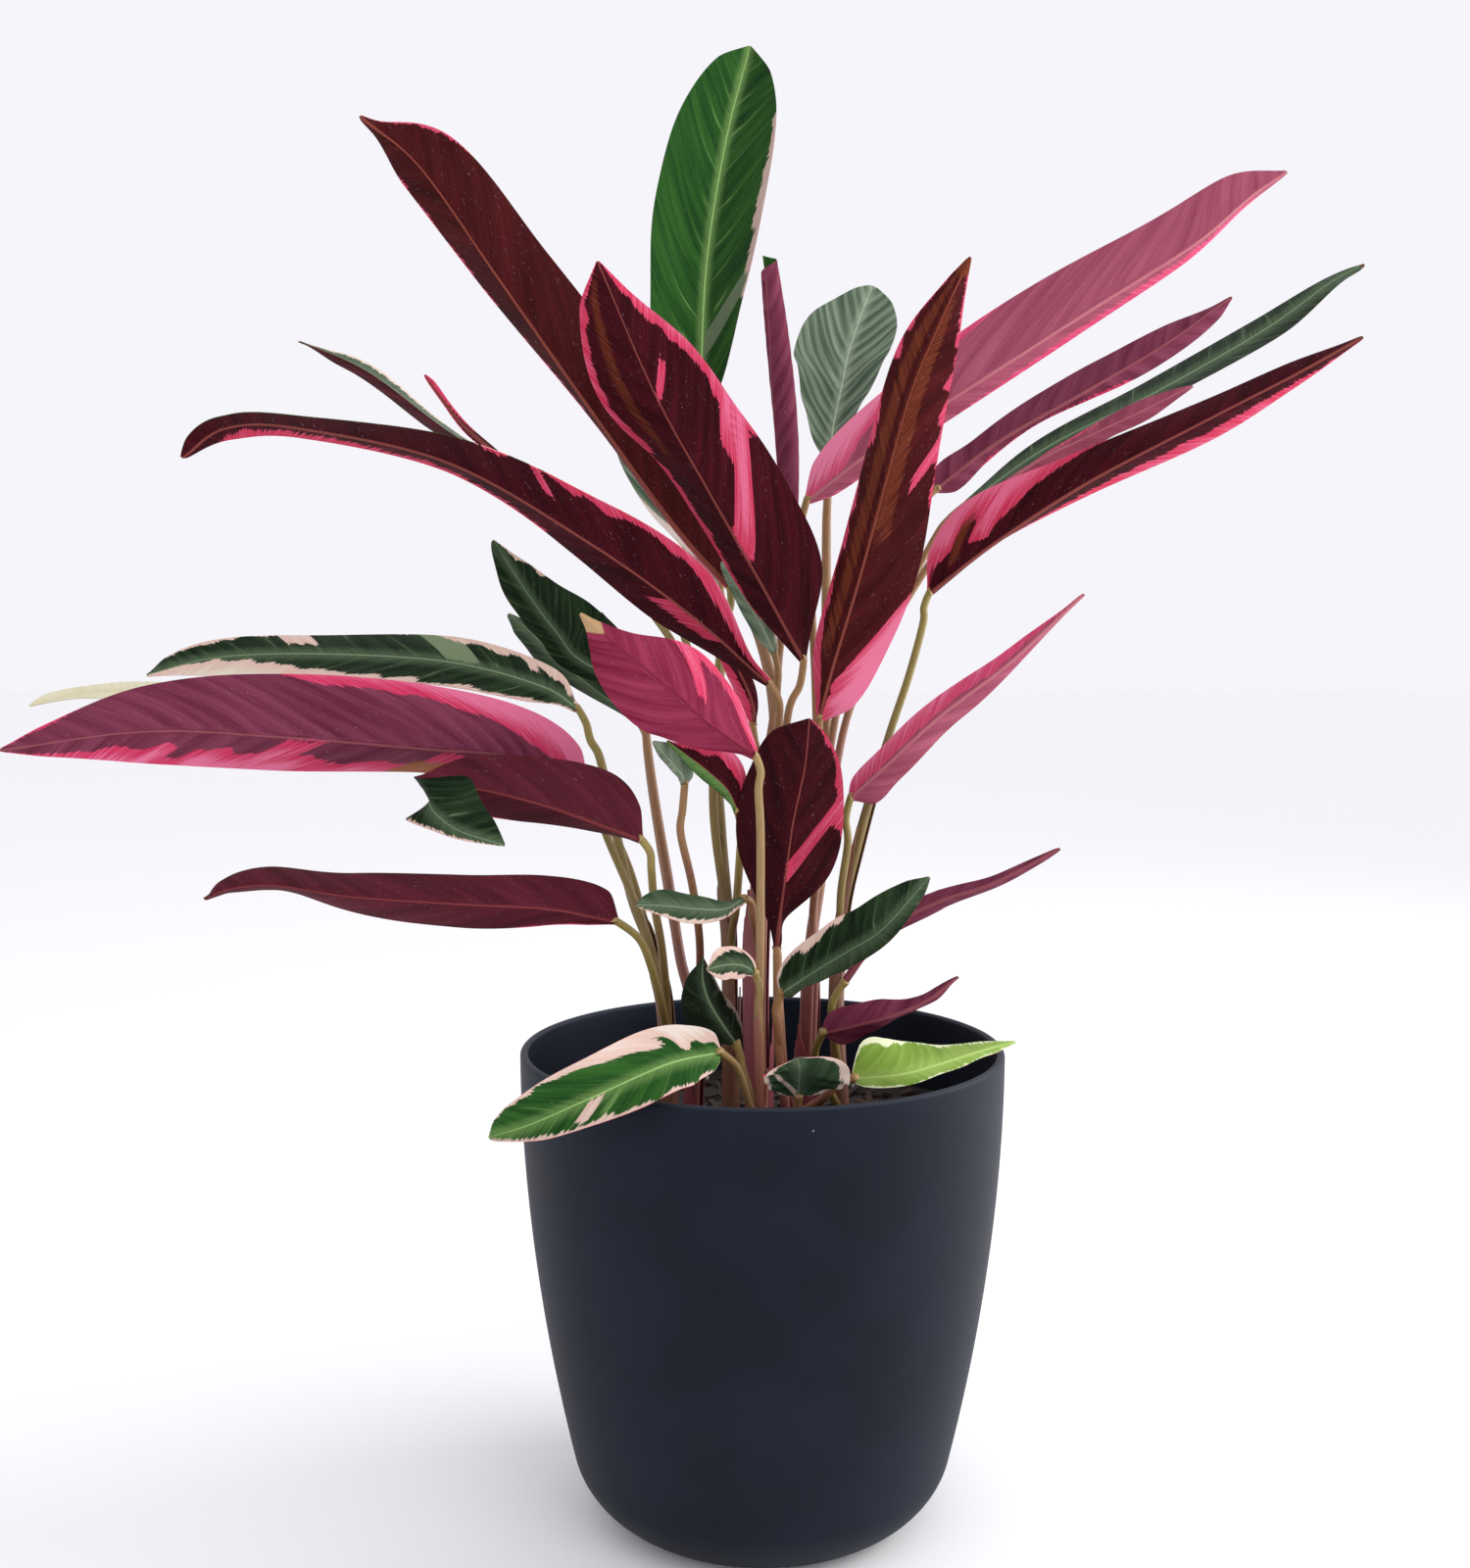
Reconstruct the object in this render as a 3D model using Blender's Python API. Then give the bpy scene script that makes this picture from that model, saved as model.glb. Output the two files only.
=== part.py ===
# Stromanthe in its planter: pot, soil, leafy shoots and leaf blades
# Metres, +Z up, origin at the centre of the pot's underside; the table of leaves is in millimetres

import math
import random

import bpy
from mathutils import Vector

MM = 0.001
FIT_GAP = 0.3 * MM

# Pot
RIM_RADIUS = 120.0 * MM
POT_HEIGHT = 233.0 * MM
FOOT_RADIUS = 62.0 * MM
WAIST_RADIUS = 94.5 * MM
WAIST_HEIGHT = 28.0 * MM
WALL = 4.0 * MM
LIP_ROUND = 2.0 * MM
FLOOR = 5.0 * MM
FOOT_SPREAD = 12.0 * MM
HEEL_INSET = 4.5 * MM
HEEL_HEIGHT = 12.0 * MM
BODY_CURVE = 1.9
POT_SIDES = 40
WALL_HEIGHTS = (60.0 * MM, 100.0 * MM, 140.0 * MM, 185.0 * MM)

# Soil
SOIL_TOP = 192.0 * MM
SOIL_SIDES = 20
SOIL_LUMP = 2.0 * MM
SOIL_RINGS = (0.78, 0.58, 0.38, 0.18)
HOLE_DEPTH = 36.0 * MM
HOLE_CLEARANCE = 0.5 * MM

# Leaves and stalks
BLADE_THICKNESS = 0.8 * MM
BASE_HALF_WIDTH = 1.7
TIP_HALF_WIDTH = 0.6
REACH_PLACES = (0.0, 0.06, 0.2, 0.4, 0.6, 0.8, 0.94, 1.0)
CUP = 1.3
WAVES = 4
WAVE_SHIFT = 1.7
BLADE_CELLS = 4
ROLL_CELLS = 12
ROLL_TURNS = 1.24
ROLL_GAP = 1.7
ROLL_START = 2.4
ROLL_TWIST = 1.2
ROLL_SLANT = 7.0
ROLL_FOOT = 0.03
ROLL_MOUTH = 0.92
ROLL_SWELL = 0.6
STALK_RADIUS = 1.7 * MM
STALK_SIDES = 5
STALK_GAP = 0.6 * MM
STALK_NECK = 5.0 * MM
CUT_STALK_RADIUS = 2.2 * MM
CUT_STALK_SIDES = 6
TRUNK_SIDES = 8
TRUNK_FOOT = SOIL_TOP - HOLE_DEPTH + 1.0 * MM

LEAF_MAROON = (0.085, 0.022, 0.030)
LEAF_ROSE = (0.300, 0.055, 0.090)
LEAF_GREEN = (0.050, 0.085, 0.030)
LEAF_CREAM = (0.420, 0.400, 0.270)
STALK_OLIVE = (0.190, 0.160, 0.060)
STALK_ROSE = (0.280, 0.110, 0.090)
POT_COLOUR = (0.016, 0.018, 0.026)
SOIL_COLOUR = (0.018, 0.012, 0.008)

# Each shoot: the line its thick stem follows up from the soil (mm) and the stem's radius (mm)
SHOOTS = {
    "shoot_left": dict(
        colour=STALK_OLIVE, radius=3.3,
        line=[(-46, -22, 192), (-47, -22, 255), (-55, -20, 286), (-62, -18, 305), (-71, -18, 327)]),
    "shoot_left_middle": dict(
        colour=STALK_ROSE, radius=3.8,
        line=[(-34, -2, 192), (-33, -2, 240), (-31, -2, 284)]),
    "shoot_centre_left": dict(
        colour=STALK_OLIVE, radius=3.0,
        line=[(-16, -12, 192), (-16, -12, 285), (-19, -12, 310), (-22, -12, 339), (-26, -10, 364)]),
    "shoot_centre": dict(
        colour=STALK_ROSE, radius=5.0,
        line=[(-2, -25, 192), (-3, -24, 270), (-1, -22, 327), (3, -18, 370), (6, -8, 402)]),
    "shoot_front": dict(
        colour=STALK_OLIVE, radius=1.9,
        line=[(-1, -60, 192), (-2, -62, 249), (-2, -65, 283), (-2, -74, 330), (-3, -79, 367)]),
    "shoot_right": dict(
        colour=STALK_ROSE, radius=4.6,
        line=[(22, 6, 192), (23, 3, 235), (24, 0, 275), (25, -2, 303)]),
    "shoot_outer_right": dict(
        colour=STALK_OLIVE, radius=2.6,
        line=[(40, -12, 192), (36, -12, 258), (40, -12, 303), (46, -11, 331), (54, -10, 362),
              (62, -9, 389), (70, -8, 412), (78, -7, 442)]),
    "shoot_front_right": dict(
        colour=STALK_ROSE, radius=2.6,
        line=[(11, -48, 192), (11, -49, 215), (9, -50, 234)]),
}

# Each leaf: its rib from base to tip, the reach of its left and right edges from the rib at six
# places from base to tip (as seen from the front), how far each edge stands in front of the rib (at
# base, middle and tip; minus is behind it), the wave of its edges and its stalk down to the shoot
LEAVES = [
    dict(name="leaf_top_green", shoot="shoot_centre", colour=LEAF_GREEN, wave=1.5, cells=12,
         rib=[(-31, 55, 529), (-31, 74, 589), (-28, 99, 648), (-18, 120, 714), (-5, 134, 768)],
         left=(14, 25, 29, 32, 27, 16), left_rise=(6, 8, 4),
         right=(4, 14, 23, 27, 25, 15), right_rise=(20, 12, 4),
         stalk=[(-21, 44, 482), (-1, 25, 436), (6, -6, 398)]),
    dict(name="leaf_furled", shoot="shoot_centre", colour=LEAF_ROSE, roll=5.0, cells=8,
         rib=[(14, 25, 500), (12, 25, 539), (8, 22, 578), (3, 18, 618)],
         stalk=[(12, 18, 461), (8, 6, 422), (5, -10, 396)]),
    dict(name="leaf_ovate_back", shoot="shoot_right", colour=LEAF_GREEN, wave=2.0, cells=10,
         rib=[(36, 60, 525), (39, 82, 548), (45, 108, 574), (53, 142, 606), (68, 180, 647)],
         left=(5, 13, 22, 30, 26, 11), left_rise=(6, 8, 4),
         right=(2, 8, 14, 20, 22, 15), right_rise=(8, 16, 8),
         stalk=[(34, 50, 487), (33, 30, 412), (31, 10, 333), (25, 0, 290)]),
    dict(name="leaf_centre_maroon", shoot="shoot_centre", colour=LEAF_MAROON, wave=1.0, cells=12,
         rib=[(19, -30, 424), (-1, -46, 459), (-26, -68, 501), (-48, -84, 539), (-72, -97, 593)],
         left=(4, 9, 10, 13, 23, 15), left_rise=(-8, -26, -12),
         right=(10, 29, 33, 30, 24, 7), right_rise=(-8, -6, -4),
         stalk=[(15, -30, 412), (12, -28, 400), (8, -24, 365), (0, -22, 330)]),
    dict(name="leaf_upper_left", shoot="shoot_centre_left", colour=LEAF_MAROON, wave=1.0, cells=14,
         rib=[(-16, 0, 460), (-42, -11, 489), (-77, -28, 536), (-120, -50, 596), (-153, -63, 642),
              (-178, -70, 662)],
         left=(1, 1, 2, 8, 10, 2), left_rise=(-16, -27, -14),
         right=(9, 22, 29, 25, 20, 5), right_rise=(-8, -12, -6),
         stalk=[(-19, -4, 441), (-23, -8, 402), (-24, -11, 352)]),
    dict(name="leaf_arching_left", shoot="shoot_centre", colour=LEAF_MAROON, wave=0.6, cells=14,
         rib=[(3, -50, 413), (-34, -70, 445), (-78, -92, 476), (-132, -118, 506), (-188, -140, 517),
              (-216, -147, 516), (-233, -149, 504)],
         left=(6, 12, 5, 2, 3, 1), left_rise=(-18, -24, -10),
         right=(4, 20, 15, 4, 2, 3), right_rise=(6, 22, 10),
         stalk=[(7, -42, 395), (5, -32, 366), (-1, -23, 334)]),
    dict(name="leaf_far_left", shoot="shoot_centre_left", colour=LEAF_GREEN, wave=1.0, cells=10,
         rib=[(-86, 60, 504), (-124, 86, 522), (-173, 114, 552), (-224, 142, 590), (-268, 162, 611)],
         left=(3, 6, 5, 5, 5, 1), left_rise=(14, 20, 10),
         right=(2, 5, 3, 3, 5, 2), right_rise=(-14, -20, -10),
         stalk=[(-70, 50, 490), (-50, 40, 462), (-34, 24, 420), (-23, 6, 372), (-19, -10, 326)]),
    dict(name="leaf_thin_left", shoot="shoot_centre_left", colour=LEAF_MAROON, wave=0.3, cells=6,
         rib=[(-109, 40, 502), (-134, 42, 528), (-155, 44, 547), (-173, 46, 571)],
         left=(2, 2, 2, 2, 1, 1), left_rise=(-4, -5, -2),
         right=(2, 2, 2, 2, 2, 2), right_rise=(-4, -5, -2),
         stalk=[(-84, 38, 476), (-62, 34, 456), (-40, 24, 424), (-25, 8, 378), (-18, -10, 320)]),
    dict(name="leaf_behind_left", shoot="shoot_centre_left", colour=LEAF_GREEN, wave=1.5, cells=10,
         rib=[(-21, 50, 462), (-33, 62, 493), (-45, 77, 526), (-55, 95, 557), (-63, 110, 588)],
         left=(4, 11, 22, 27, 25, 14), left_rise=(4, 6, 4),
         right=(5, 15, 23, 23, 18, 10), right_rise=(4, 6, 4),
         stalk=[(-21, 36, 412), (-22, 12, 363), (-19, -11, 315)]),
    dict(name="leaf_dark_green_left", shoot="shoot_left_middle", colour=LEAF_GREEN, wave=1.0,
         cells=10,
         rib=[(-61, 35, 409), (-95, 56, 425), (-108, 65, 439), (-125, 81, 460), (-147, 101, 491)],
         left=(4, 7, 8, 9, 9, 4), left_rise=(10, 18, 8),
         right=(16, 26, 26, 20, 12, 4), right_rise=(4, 5, 2),
         stalk=[(-59, 30, 387), (-54, 22, 352), (-47, 13, 313), (-41, 5, 276), (-34, -1, 246)]),
    dict(name="leaf_dark_green_back", shoot="shoot_left_middle", colour=LEAF_GREEN, wave=1.0,
         cells=8,
         rib=[(-66, 70, 393), (-92, 92, 410), (-113, 112, 426), (-130, 127, 441), (-144, 139, 452)],
         left=(2, 4, 7, 7, 5, 2), left_rise=(8, 14, 6),
         right=(7, 13, 11, 10, 5, 2), right_rise=(-6, -10, -4),
         stalk=[(-60, 54, 376), (-56, 38, 352), (-49, 24, 313), (-42, 11, 278), (-34, 1, 250)]),
    dict(name="leaf_cream_left", shoot="shoot_left", colour=LEAF_CREAM, wave=1.5, cells=12,
         rib=[(-91, 5, 400), (-111, 11, 412), (-161, 27, 424), (-232, 45, 428), (-287, 55, 426),
              (-326, 63, 417)],
         left=(3, 9, 12, 11, 9, 3), left_rise=(10, 18, 8),
         right=(3, 10, 13, 10, 10, 7), right_rise=(-8, -18, -8),
         stalk=[(-85, 2, 385), (-80, -2, 376), (-74, -8, 350), (-64, -17, 310)]),
    dict(name="leaf_long_lower_left", shoot="shoot_left", colour=LEAF_ROSE, wave=1.2, cells=14,
         rib=[(-84, -26, 365), (-116, -42, 379), (-156, -61, 384), (-216, -77, 390), (-271, -90, 393),
              (-333, -96, 385)],
         left=(4, 12, 13, 17, 15, 6), left_rise=(-14, -26, -12),
         right=(15, 23, 29, 28, 20, 8), right_rise=(-6, -8, -4),
         stalk=[(-79, -27, 352), (-74, -24, 337), (-60, -19, 302)]),
    dict(name="leaf_curled_cream", shoot="shoot_left", colour=LEAF_CREAM, wave=1.5, cells=12,
         rib=[(-109, 30, 379), (-181, 65, 390), (-257, 94, 399), (-339, 110, 407), (-376, 110, 407),
              (-408, 107, 400)],
         left=(4, 8, 8, 7, 3, 1), left_rise=(8, 10, 3),
         right=(5, 7, 8, 6, 4, 4), right_rise=(-6, -8, 2),
         stalk=[(-88, 20, 362), (-67, 0, 324), (-54, -20, 284)]),
    dict(name="leaf_spoon", shoot="shoot_front", colour=LEAF_ROSE, wave=1.0, cells=10,
         rib=[(-4, -80, 381), (-25, -86, 396), (-38, -91, 408), (-59, -97, 426), (-80, -100, 444)],
         left=(3, 11, 19, 22, 16, 4), left_rise=(-4, -6, -4),
         right=(7, 17, 20, 20, 8, 2), right_rise=(-4, -6, -2),
         stalk=[(-3, -79, 366), (-2, -76, 344)]),
    dict(name="leaf_curled_left", shoot="shoot_left", colour=LEAF_CREAM, wave=0.8, cells=14,
         across=(0, 0, -1),
         rib=[(-56, -62, 342), (-73, -66, 349), (-102, -74, 360), (-134, -84, 368),
              (-146, -98, 363), (-134, -107, 352), (-112, -110, 345)],
         left=(2, 5, 12, 12, 4, 2), left_rise=(-14, -18, 2),
         right=(14, 24, 18, 9, 24, 11), right_rise=(-6, -6, -2),
         stalk=[(-52, -58, 328), (-51, -50, 310), (-48, -40, 287), (-46, -24, 250)]),
    dict(name="leaf_low_left", shoot="shoot_left", colour=LEAF_MAROON, wave=1.0, cells=12,
         rib=[(-68, -58, 304), (-97, -78, 313), (-133, -97, 318), (-179, -108, 323), (-209, -117, 329),
              (-227, -122, 328), (-236, -125, 324)],
         left=(6, 12, 13, 6, 3, 1), left_rise=(-12, -20, -8),
         right=(14, 16, 14, 11, 6, 1), right_rise=(8, 18, 8),
         stalk=[(-61, -54, 296), (-53, -46, 281), (-48, -36, 258), (-46, -23, 236)]),
    dict(name="leaf_upper_right", shoot="shoot_right", colour=LEAF_ROSE, wave=1.0, cells=14,
         rib=[(21, -8, 501), (54, -14, 526), (93, -25, 550), (148, -39, 584), (193, -53, 611),
              (217, -58, 631), (232, -61, 641)],
         left=(13, 20, 25, 21, 15, 5), left_rise=(-6, -8, -4),
         right=(6, 7, 6, 4, 2, 1), right_rise=(-12, -24, -10),
         stalk=[(23, -6, 460), (26, -8, 402), (27, -6, 340), (25, -1, 290)]),
    dict(name="leaf_wavy_purple", shoot="shoot_right", colour=LEAF_MAROON, wave=2.2, cells=14,
         rib=[(86, 15, 509), (120, 24, 535), (165, 30, 561), (204, 34, 584), (238, 36, 608)],
         left=(9, 8, 11, 11, 8, 2), left_rise=(-8, -12, -6),
         right=(7, 5, 2, 6, 7, 5), right_rise=(-8, -15, -6),
         stalk=[(70, 12, 490), (52, 8, 452), (38, 4, 405), (30, 2, 350), (25, -1, 290)]),
    dict(name="leaf_narrow_green", shoot="shoot_right", colour=LEAF_GREEN, wave=1.0, cells=12,
         rib=[(107, 52, 506), (153, 71, 538), (215, 90, 570), (279, 110, 607), (317, 118, 634),
              (337, 121, 645)],
         left=(3, 6, 8, 8, 4, 2), left_rise=(-10, -17, -6),
         right=(1, 6, 6, 7, 3, 2), right_rise=(10, 17, 6),
         stalk=[(90, 46, 488), (70, 36, 452), (46, 22, 405), (34, 10, 350), (24, 2, 280)]),
    dict(name="leaf_right_maroon", shoot="shoot_outer_right", colour=LEAF_MAROON, wave=1.2,
         cells=14,
         rib=[(81, -6, 457), (110, -17, 480), (151, -31, 507), (201, -53, 533), (236, -64, 551),
              (263, -74, 566)],
         left=(15, 24, 15, 9, 6, 2), left_rise=(-6, -18, -8),
         right=(1, 1, 6, 9, 5, 2), right_rise=(-14, -20, -8),
         stalk=[(78, -7, 442), (71, -8, 416)]),
    dict(name="leaf_pink_green_tip", shoot="shoot_right", colour=LEAF_CREAM, wave=0.8, cells=8,
         rib=[(111, 30, 505), (142, 38, 526), (166, 44, 538), (191, 48, 550), (223, 50, 566)],
         left=(1, 1, 3, 5, 6, 3), left_rise=(-8, -10, -4),
         right=(2, 6, 7, 5, 5, 2), right_rise=(6, 10, 4),
         stalk=[(92, 28, 484), (68, 24, 446), (44, 14, 400), (33, 6, 345), (24, 1, 284)]),
    dict(name="leaf_right_upright", shoot="shoot_right", colour=LEAF_MAROON, wave=1.0, cells=14,
         rib=[(26, -42, 396), (32, -48, 421), (42, -61, 457), (51, -74, 493), (62, -90, 537),
              (73, -96, 565), (86, -100, 594)],
         left=(4, 11, 11, 11, 12, 5), left_rise=(-10, -22, -8),
         right=(13, 21, 25, 19, 12, 4), right_rise=(-4, -8, -6),
         stalk=[(27, -36, 371), (27, -24, 337), (25, -3, 298)]),
    dict(name="leaf_lower_right", shoot="shoot_outer_right", colour=LEAF_ROSE, wave=1.0, cells=10,
         rib=[(42, -22, 358), (59, -33, 375), (81, -51, 398), (109, -69, 422), (140, -83, 453)],
         left=(6, 7, 7, 6, 4, 1), left_rise=(-8, -14, -6),
         right=(10, 10, 9, 7, 3, 1), right_rise=(-6, -12, -6),
         stalk=[(41, -20, 336), (38, -16, 310), (38, -12, 282)]),
    dict(name="leaf_low_centre", shoot="shoot_front_right", colour=LEAF_MAROON, wave=1.2, cells=12,
         rib=[(6, -50, 289), (7, -54, 303), (10, -60, 327), (13, -66, 351), (18, -70, 376),
              (20, -70, 398)],
         left=(2, 6, 21, 26, 23, 16), left_rise=(-4, -8, -4),
         right=(2, 3, 21, 23, 17, 8), right_rise=(-4, -8, -4),
         stalk=[(7, -49, 268), (10, -50, 220)]),
    dict(name="leaf_torn_green", shoot="shoot_front_right", colour=LEAF_GREEN, wave=0.8, cells=10,
         rib=[(8, -65, 272), (22, -77, 284), (37, -90, 296), (51, -103, 308), (69, -116, 332)],
         left=(8, 13, 15, 16, 14, 7), left_rise=(2, 3, 2),
         right=(3, 2, 3, 4, 4, 3), right_rise=(8, 13, 6),
         stalk=[(6, -60, 256), (10, -50, 226)]),
    dict(name="leaf_narrow_maroon", shoot="shoot_outer_right", colour=LEAF_MAROON, wave=0.6,
         cells=8,
         rib=[(39, -30, 270), (58, -42, 297), (80, -54, 312), (105, -66, 323), (132, -78, 340)],
         left=(2, 4, 4, 3, 2, 1), left_rise=(-6, -9, -4),
         right=(1, 4, 6, 4, 3, 2), right_rise=(-6, -9, -4),
         stalk=[(33, -28, 256), (35, -20, 240), (38, -13, 220)]),
    dict(name="leaf_low_maroon", shoot="shoot_outer_right", colour=LEAF_MAROON, wave=0.6, cells=8,
         rib=[(28, -42, 248), (46, -57, 256), (60, -66, 262), (74, -72, 270), (87, -78, 282)],
         left=(8, 9, 7, 3, 2, 1), left_rise=(-4, -8, -3),
         right=(8, 7, 4, 3, 3, 1), right_rise=(-4, -8, -3),
         stalk=[(26, -36, 238), (33, -20, 214), (39, -13, 200)]),
    dict(name="leaf_rim_right", shoot="shoot_front_right", colour=LEAF_CREAM, wave=0.5, cells=8,
         rib=[(39, -84, 237), (62, -80, 238), (84, -62, 239), (105, -42, 240), (122, -26, 240)],
         left=(15, 15, 10, 4, 2, 1), left_rise=(-10, -14, -4),
         right=(4, 5, 4, 3, 2, 1), right_rise=(2, 3, 2),
         stalk=[(26, -78, 226), (12, -52, 206)]),
    dict(name="leaf_marbled_curly", shoot="shoot_front_right", colour=LEAF_CREAM, wave=1.0, cells=8,
         rib=[(15, -84, 229), (15, -88, 235), (15, -92, 240), (15, -96, 245), (14, -98, 250)],
         left=(8, 13, 14, 16, 15, 9), left_rise=(1, 3, 3),
         right=(6, 15, 20, 22, 20, 10), right_rise=(1, 4, 4),
         stalk=[(14, -76, 216), (11, -51, 204)]),
    dict(name="leaf_over_rim", shoot="shoot_front", colour=LEAF_CREAM, wave=1.0, cells=12,
         rib=[(-20, -80, 248), (-35, -96, 249), (-48, -106, 247), (-77, -116, 236),
              (-102, -112, 224), (-121, -104, 216)],
         left=(7, 9, 10, 9, 5, 2), left_rise=(6, 13, 6),
         right=(10, 15, 18, 17, 13, 7), right_rise=(1, 3, 1),
         stalk=[(-15, -74, 238), (-7, -64, 220), (-1, -60, 206)]),
    dict(name="leaf_small_variegated", shoot="shoot_front", colour=LEAF_CREAM, wave=0.3, cells=6,
         rib=[(-4, -68, 281), (-8, -70, 285), (-14, -74, 287), (-20, -78, 287), (-26, -82, 286)],
         left=(2, 4, 6, 6, 6, 3), left_rise=(2, 3, 2),
         right=(2, 4, 7, 8, 7, 2), right_rise=(-1, -2, -1),
         stalk=[(-3, -64, 264), (-2, -62, 245)]),
    dict(name="leaf_small_grey", shoot="shoot_centre", colour=LEAF_GREEN, wave=0.3, cells=8,
         rib=[(-9, -52, 314), (-18, -60, 310), (-31, -66, 311), (-45, -70, 313), (-58, -74, 314)],
         left=(2, 2, 5, 6, 4, 2), left_rise=(3, 5, 3),
         right=(2, 3, 5, 6, 7, 4), right_rise=(-2, -4, -2),
         stalk=[(-5, -44, 304), (-2, -27, 276)]),
    dict(name="leaf_dark_in_pot", shoot="shoot_front", colour=LEAF_GREEN, wave=0.5, cells=8,
         rib=[(-13, -62, 248), (-19, -68, 258), (-25, -72, 269), (-28, -75, 280), (-28, -76, 290)],
         left=(4, 8, 13, 12, 7, 2), left_rise=(2, 4, 2),
         right=(5, 8, 9, 7, 5, 2), right_rise=(1, 2, 1),
         stalk=[(-9, -60, 232), (-2, -60, 212)]),
    dict(name="leaf_small_grey_up", shoot="shoot_left_middle", colour=LEAF_GREEN, wave=0.3,
         cells=6,
         rib=[(-37, -46, 366), (-38, -48, 371), (-42, -51, 376), (-47, -54, 382), (-51, -58, 387)],
         left=(1, 2, 2, 2, 2, 1), left_rise=(3, 5, 3),
         right=(2, 5, 6, 5, 5, 2), right_rise=(0, 0, 0),
         stalk=[(-40, -46, 356), (-39, -42, 343), (-34, -32, 318), (-31, -16, 291), (-31, -3, 268)]),
    dict(name="leaf_folded_maroon", shoot="shoot_centre_left", colour=LEAF_MAROON, wave=0.5,
         cells=8,
         rib=[(-12, -56, 354), (-17, -60, 365), (-26, -66, 374), (-36, -70, 382), (-44, -72, 388)],
         left=(1, 3, 4, 4, 2, 1), left_rise=(2, 3, 2),
         right=(3, 9, 14, 11, 4, 1), right_rise=(0, -1, 0),
         stalk=[(-11, -46, 336), (-13, -28, 306), (-16, -13, 278)]),
    dict(name="leaf_olive_centre", shoot="shoot_centre", colour=LEAF_GREEN, wave=0.3, cells=8,
         rib=[(6, -8, 427), (0, -9, 440), (-7, -10, 451), (-14, -10, 462), (-20, -10, 472)],
         left=(2, 5, 5, 4, 3, 2), left_rise=(1, 2, 1),
         right=(3, 5, 4, 3, 3, 1), right_rise=(1, 2, 1),
         stalk=[(7, -9, 410), (6, -9, 392)]),
    dict(name="leaf_pink_behind", shoot="shoot_centre", colour=LEAF_ROSE, wave=0.5, cells=8,
         rib=[(-5, -28, 393), (-5, -26, 403), (-10, -24, 416), (-17, -22, 428), (-26, -20, 440)],
         left=(2, 5, 6, 6, 4, 1), left_rise=(-2, -3, -2),
         right=(1, 2, 4, 4, 2, 1), right_rise=(-1, -2, -1),
         stalk=[(-3, -28, 380), (0, -22, 352)]),
]

# A stalk whose leaf was cut off
CUT_STALK = [(11, -49, 208), (7, -56, 243), (6, -58, 292)]


def material(name, colour, roughness):
    """A plain surface of one colour."""
    made = bpy.data.materials.new(name)
    made.use_nodes = True
    surface = made.node_tree.nodes["Principled BSDF"]
    surface.inputs["Base Color"].default_value = (*colour, 1.0)
    surface.inputs["Roughness"].default_value = roughness
    surface.inputs["Metallic"].default_value = 0.0
    return made


def add_object(name, points, faces, colour, roughness):
    """A named object from points and faces."""
    mesh = bpy.data.meshes.new(name)
    mesh.from_pydata([tuple(point) for point in points], [], faces)
    mesh.materials.append(material(name, colour, roughness))
    mesh.validate()
    mesh.shade_smooth()
    mesh.set_sharp_from_angle(angle=math.radians(50))
    made = bpy.data.objects.new(name, mesh)
    bpy.context.scene.collection.objects.link(made)
    return made


def spline(points, share):
    """A point on the smooth line through all the given points, share running from 0 to 1."""
    spans = len(points) - 1
    place = min(max(share, 0.0), 1.0) * spans
    index = min(int(place), spans - 1)
    local = place - index
    before = points[index - 1] if index > 0 else points[0] * 2 - points[1]
    start = points[index]
    end = points[index + 1]
    after = points[index + 2] if index + 2 <= spans else points[spans] * 2 - points[spans - 1]
    slope_in = (end - before) / 2
    slope_out = (after - start) / 2
    square = local * local
    cube = square * local
    return (start * (2 * cube - 3 * square + 1) + slope_in * (cube - 2 * square + local)
            + end * (3 * square - 2 * cube) + slope_out * (cube - square))


def three_way(values, share):
    """A value between those at base, middle and tip."""
    base, middle, tip = values
    if share < 0.5:
        return base + (middle - base) * share * 2
    return middle + (tip - middle) * (share * 2 - 1)


def turned(name, outline, sides, colour, roughness):
    """A round piece from an outline of (radius, height) that starts and ends on the axis."""
    points = [Vector((0, 0, outline[0][1])), Vector((0, 0, outline[-1][1]))]
    faces = []
    rings = outline[1:-1]
    for radius, height in rings:
        for side in range(sides):
            angle = 2 * math.pi * side / sides
            points.append(Vector((radius * math.cos(angle), radius * math.sin(angle), height)))

    def ring_point(ring, side):
        return 2 + ring * sides + side % sides

    for side in range(sides):
        faces.append((0, ring_point(0, side + 1), ring_point(0, side)))
        faces.append((1, ring_point(len(rings) - 1, side), ring_point(len(rings) - 1, side + 1)))
        for ring in range(len(rings) - 1):
            faces.append((ring_point(ring, side), ring_point(ring, side + 1),
                          ring_point(ring + 1, side + 1), ring_point(ring + 1, side)))
    return add_object(name, points, faces, colour, roughness)


def body_radius(height):
    """The pot's outer radius above its rounded foot."""
    share = (height - WAIST_HEIGHT) / (POT_HEIGHT - LIP_ROUND - WAIST_HEIGHT)
    return RIM_RADIUS - (RIM_RADIUS - WAIST_RADIUS) * (1 - share) ** BODY_CURVE


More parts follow.
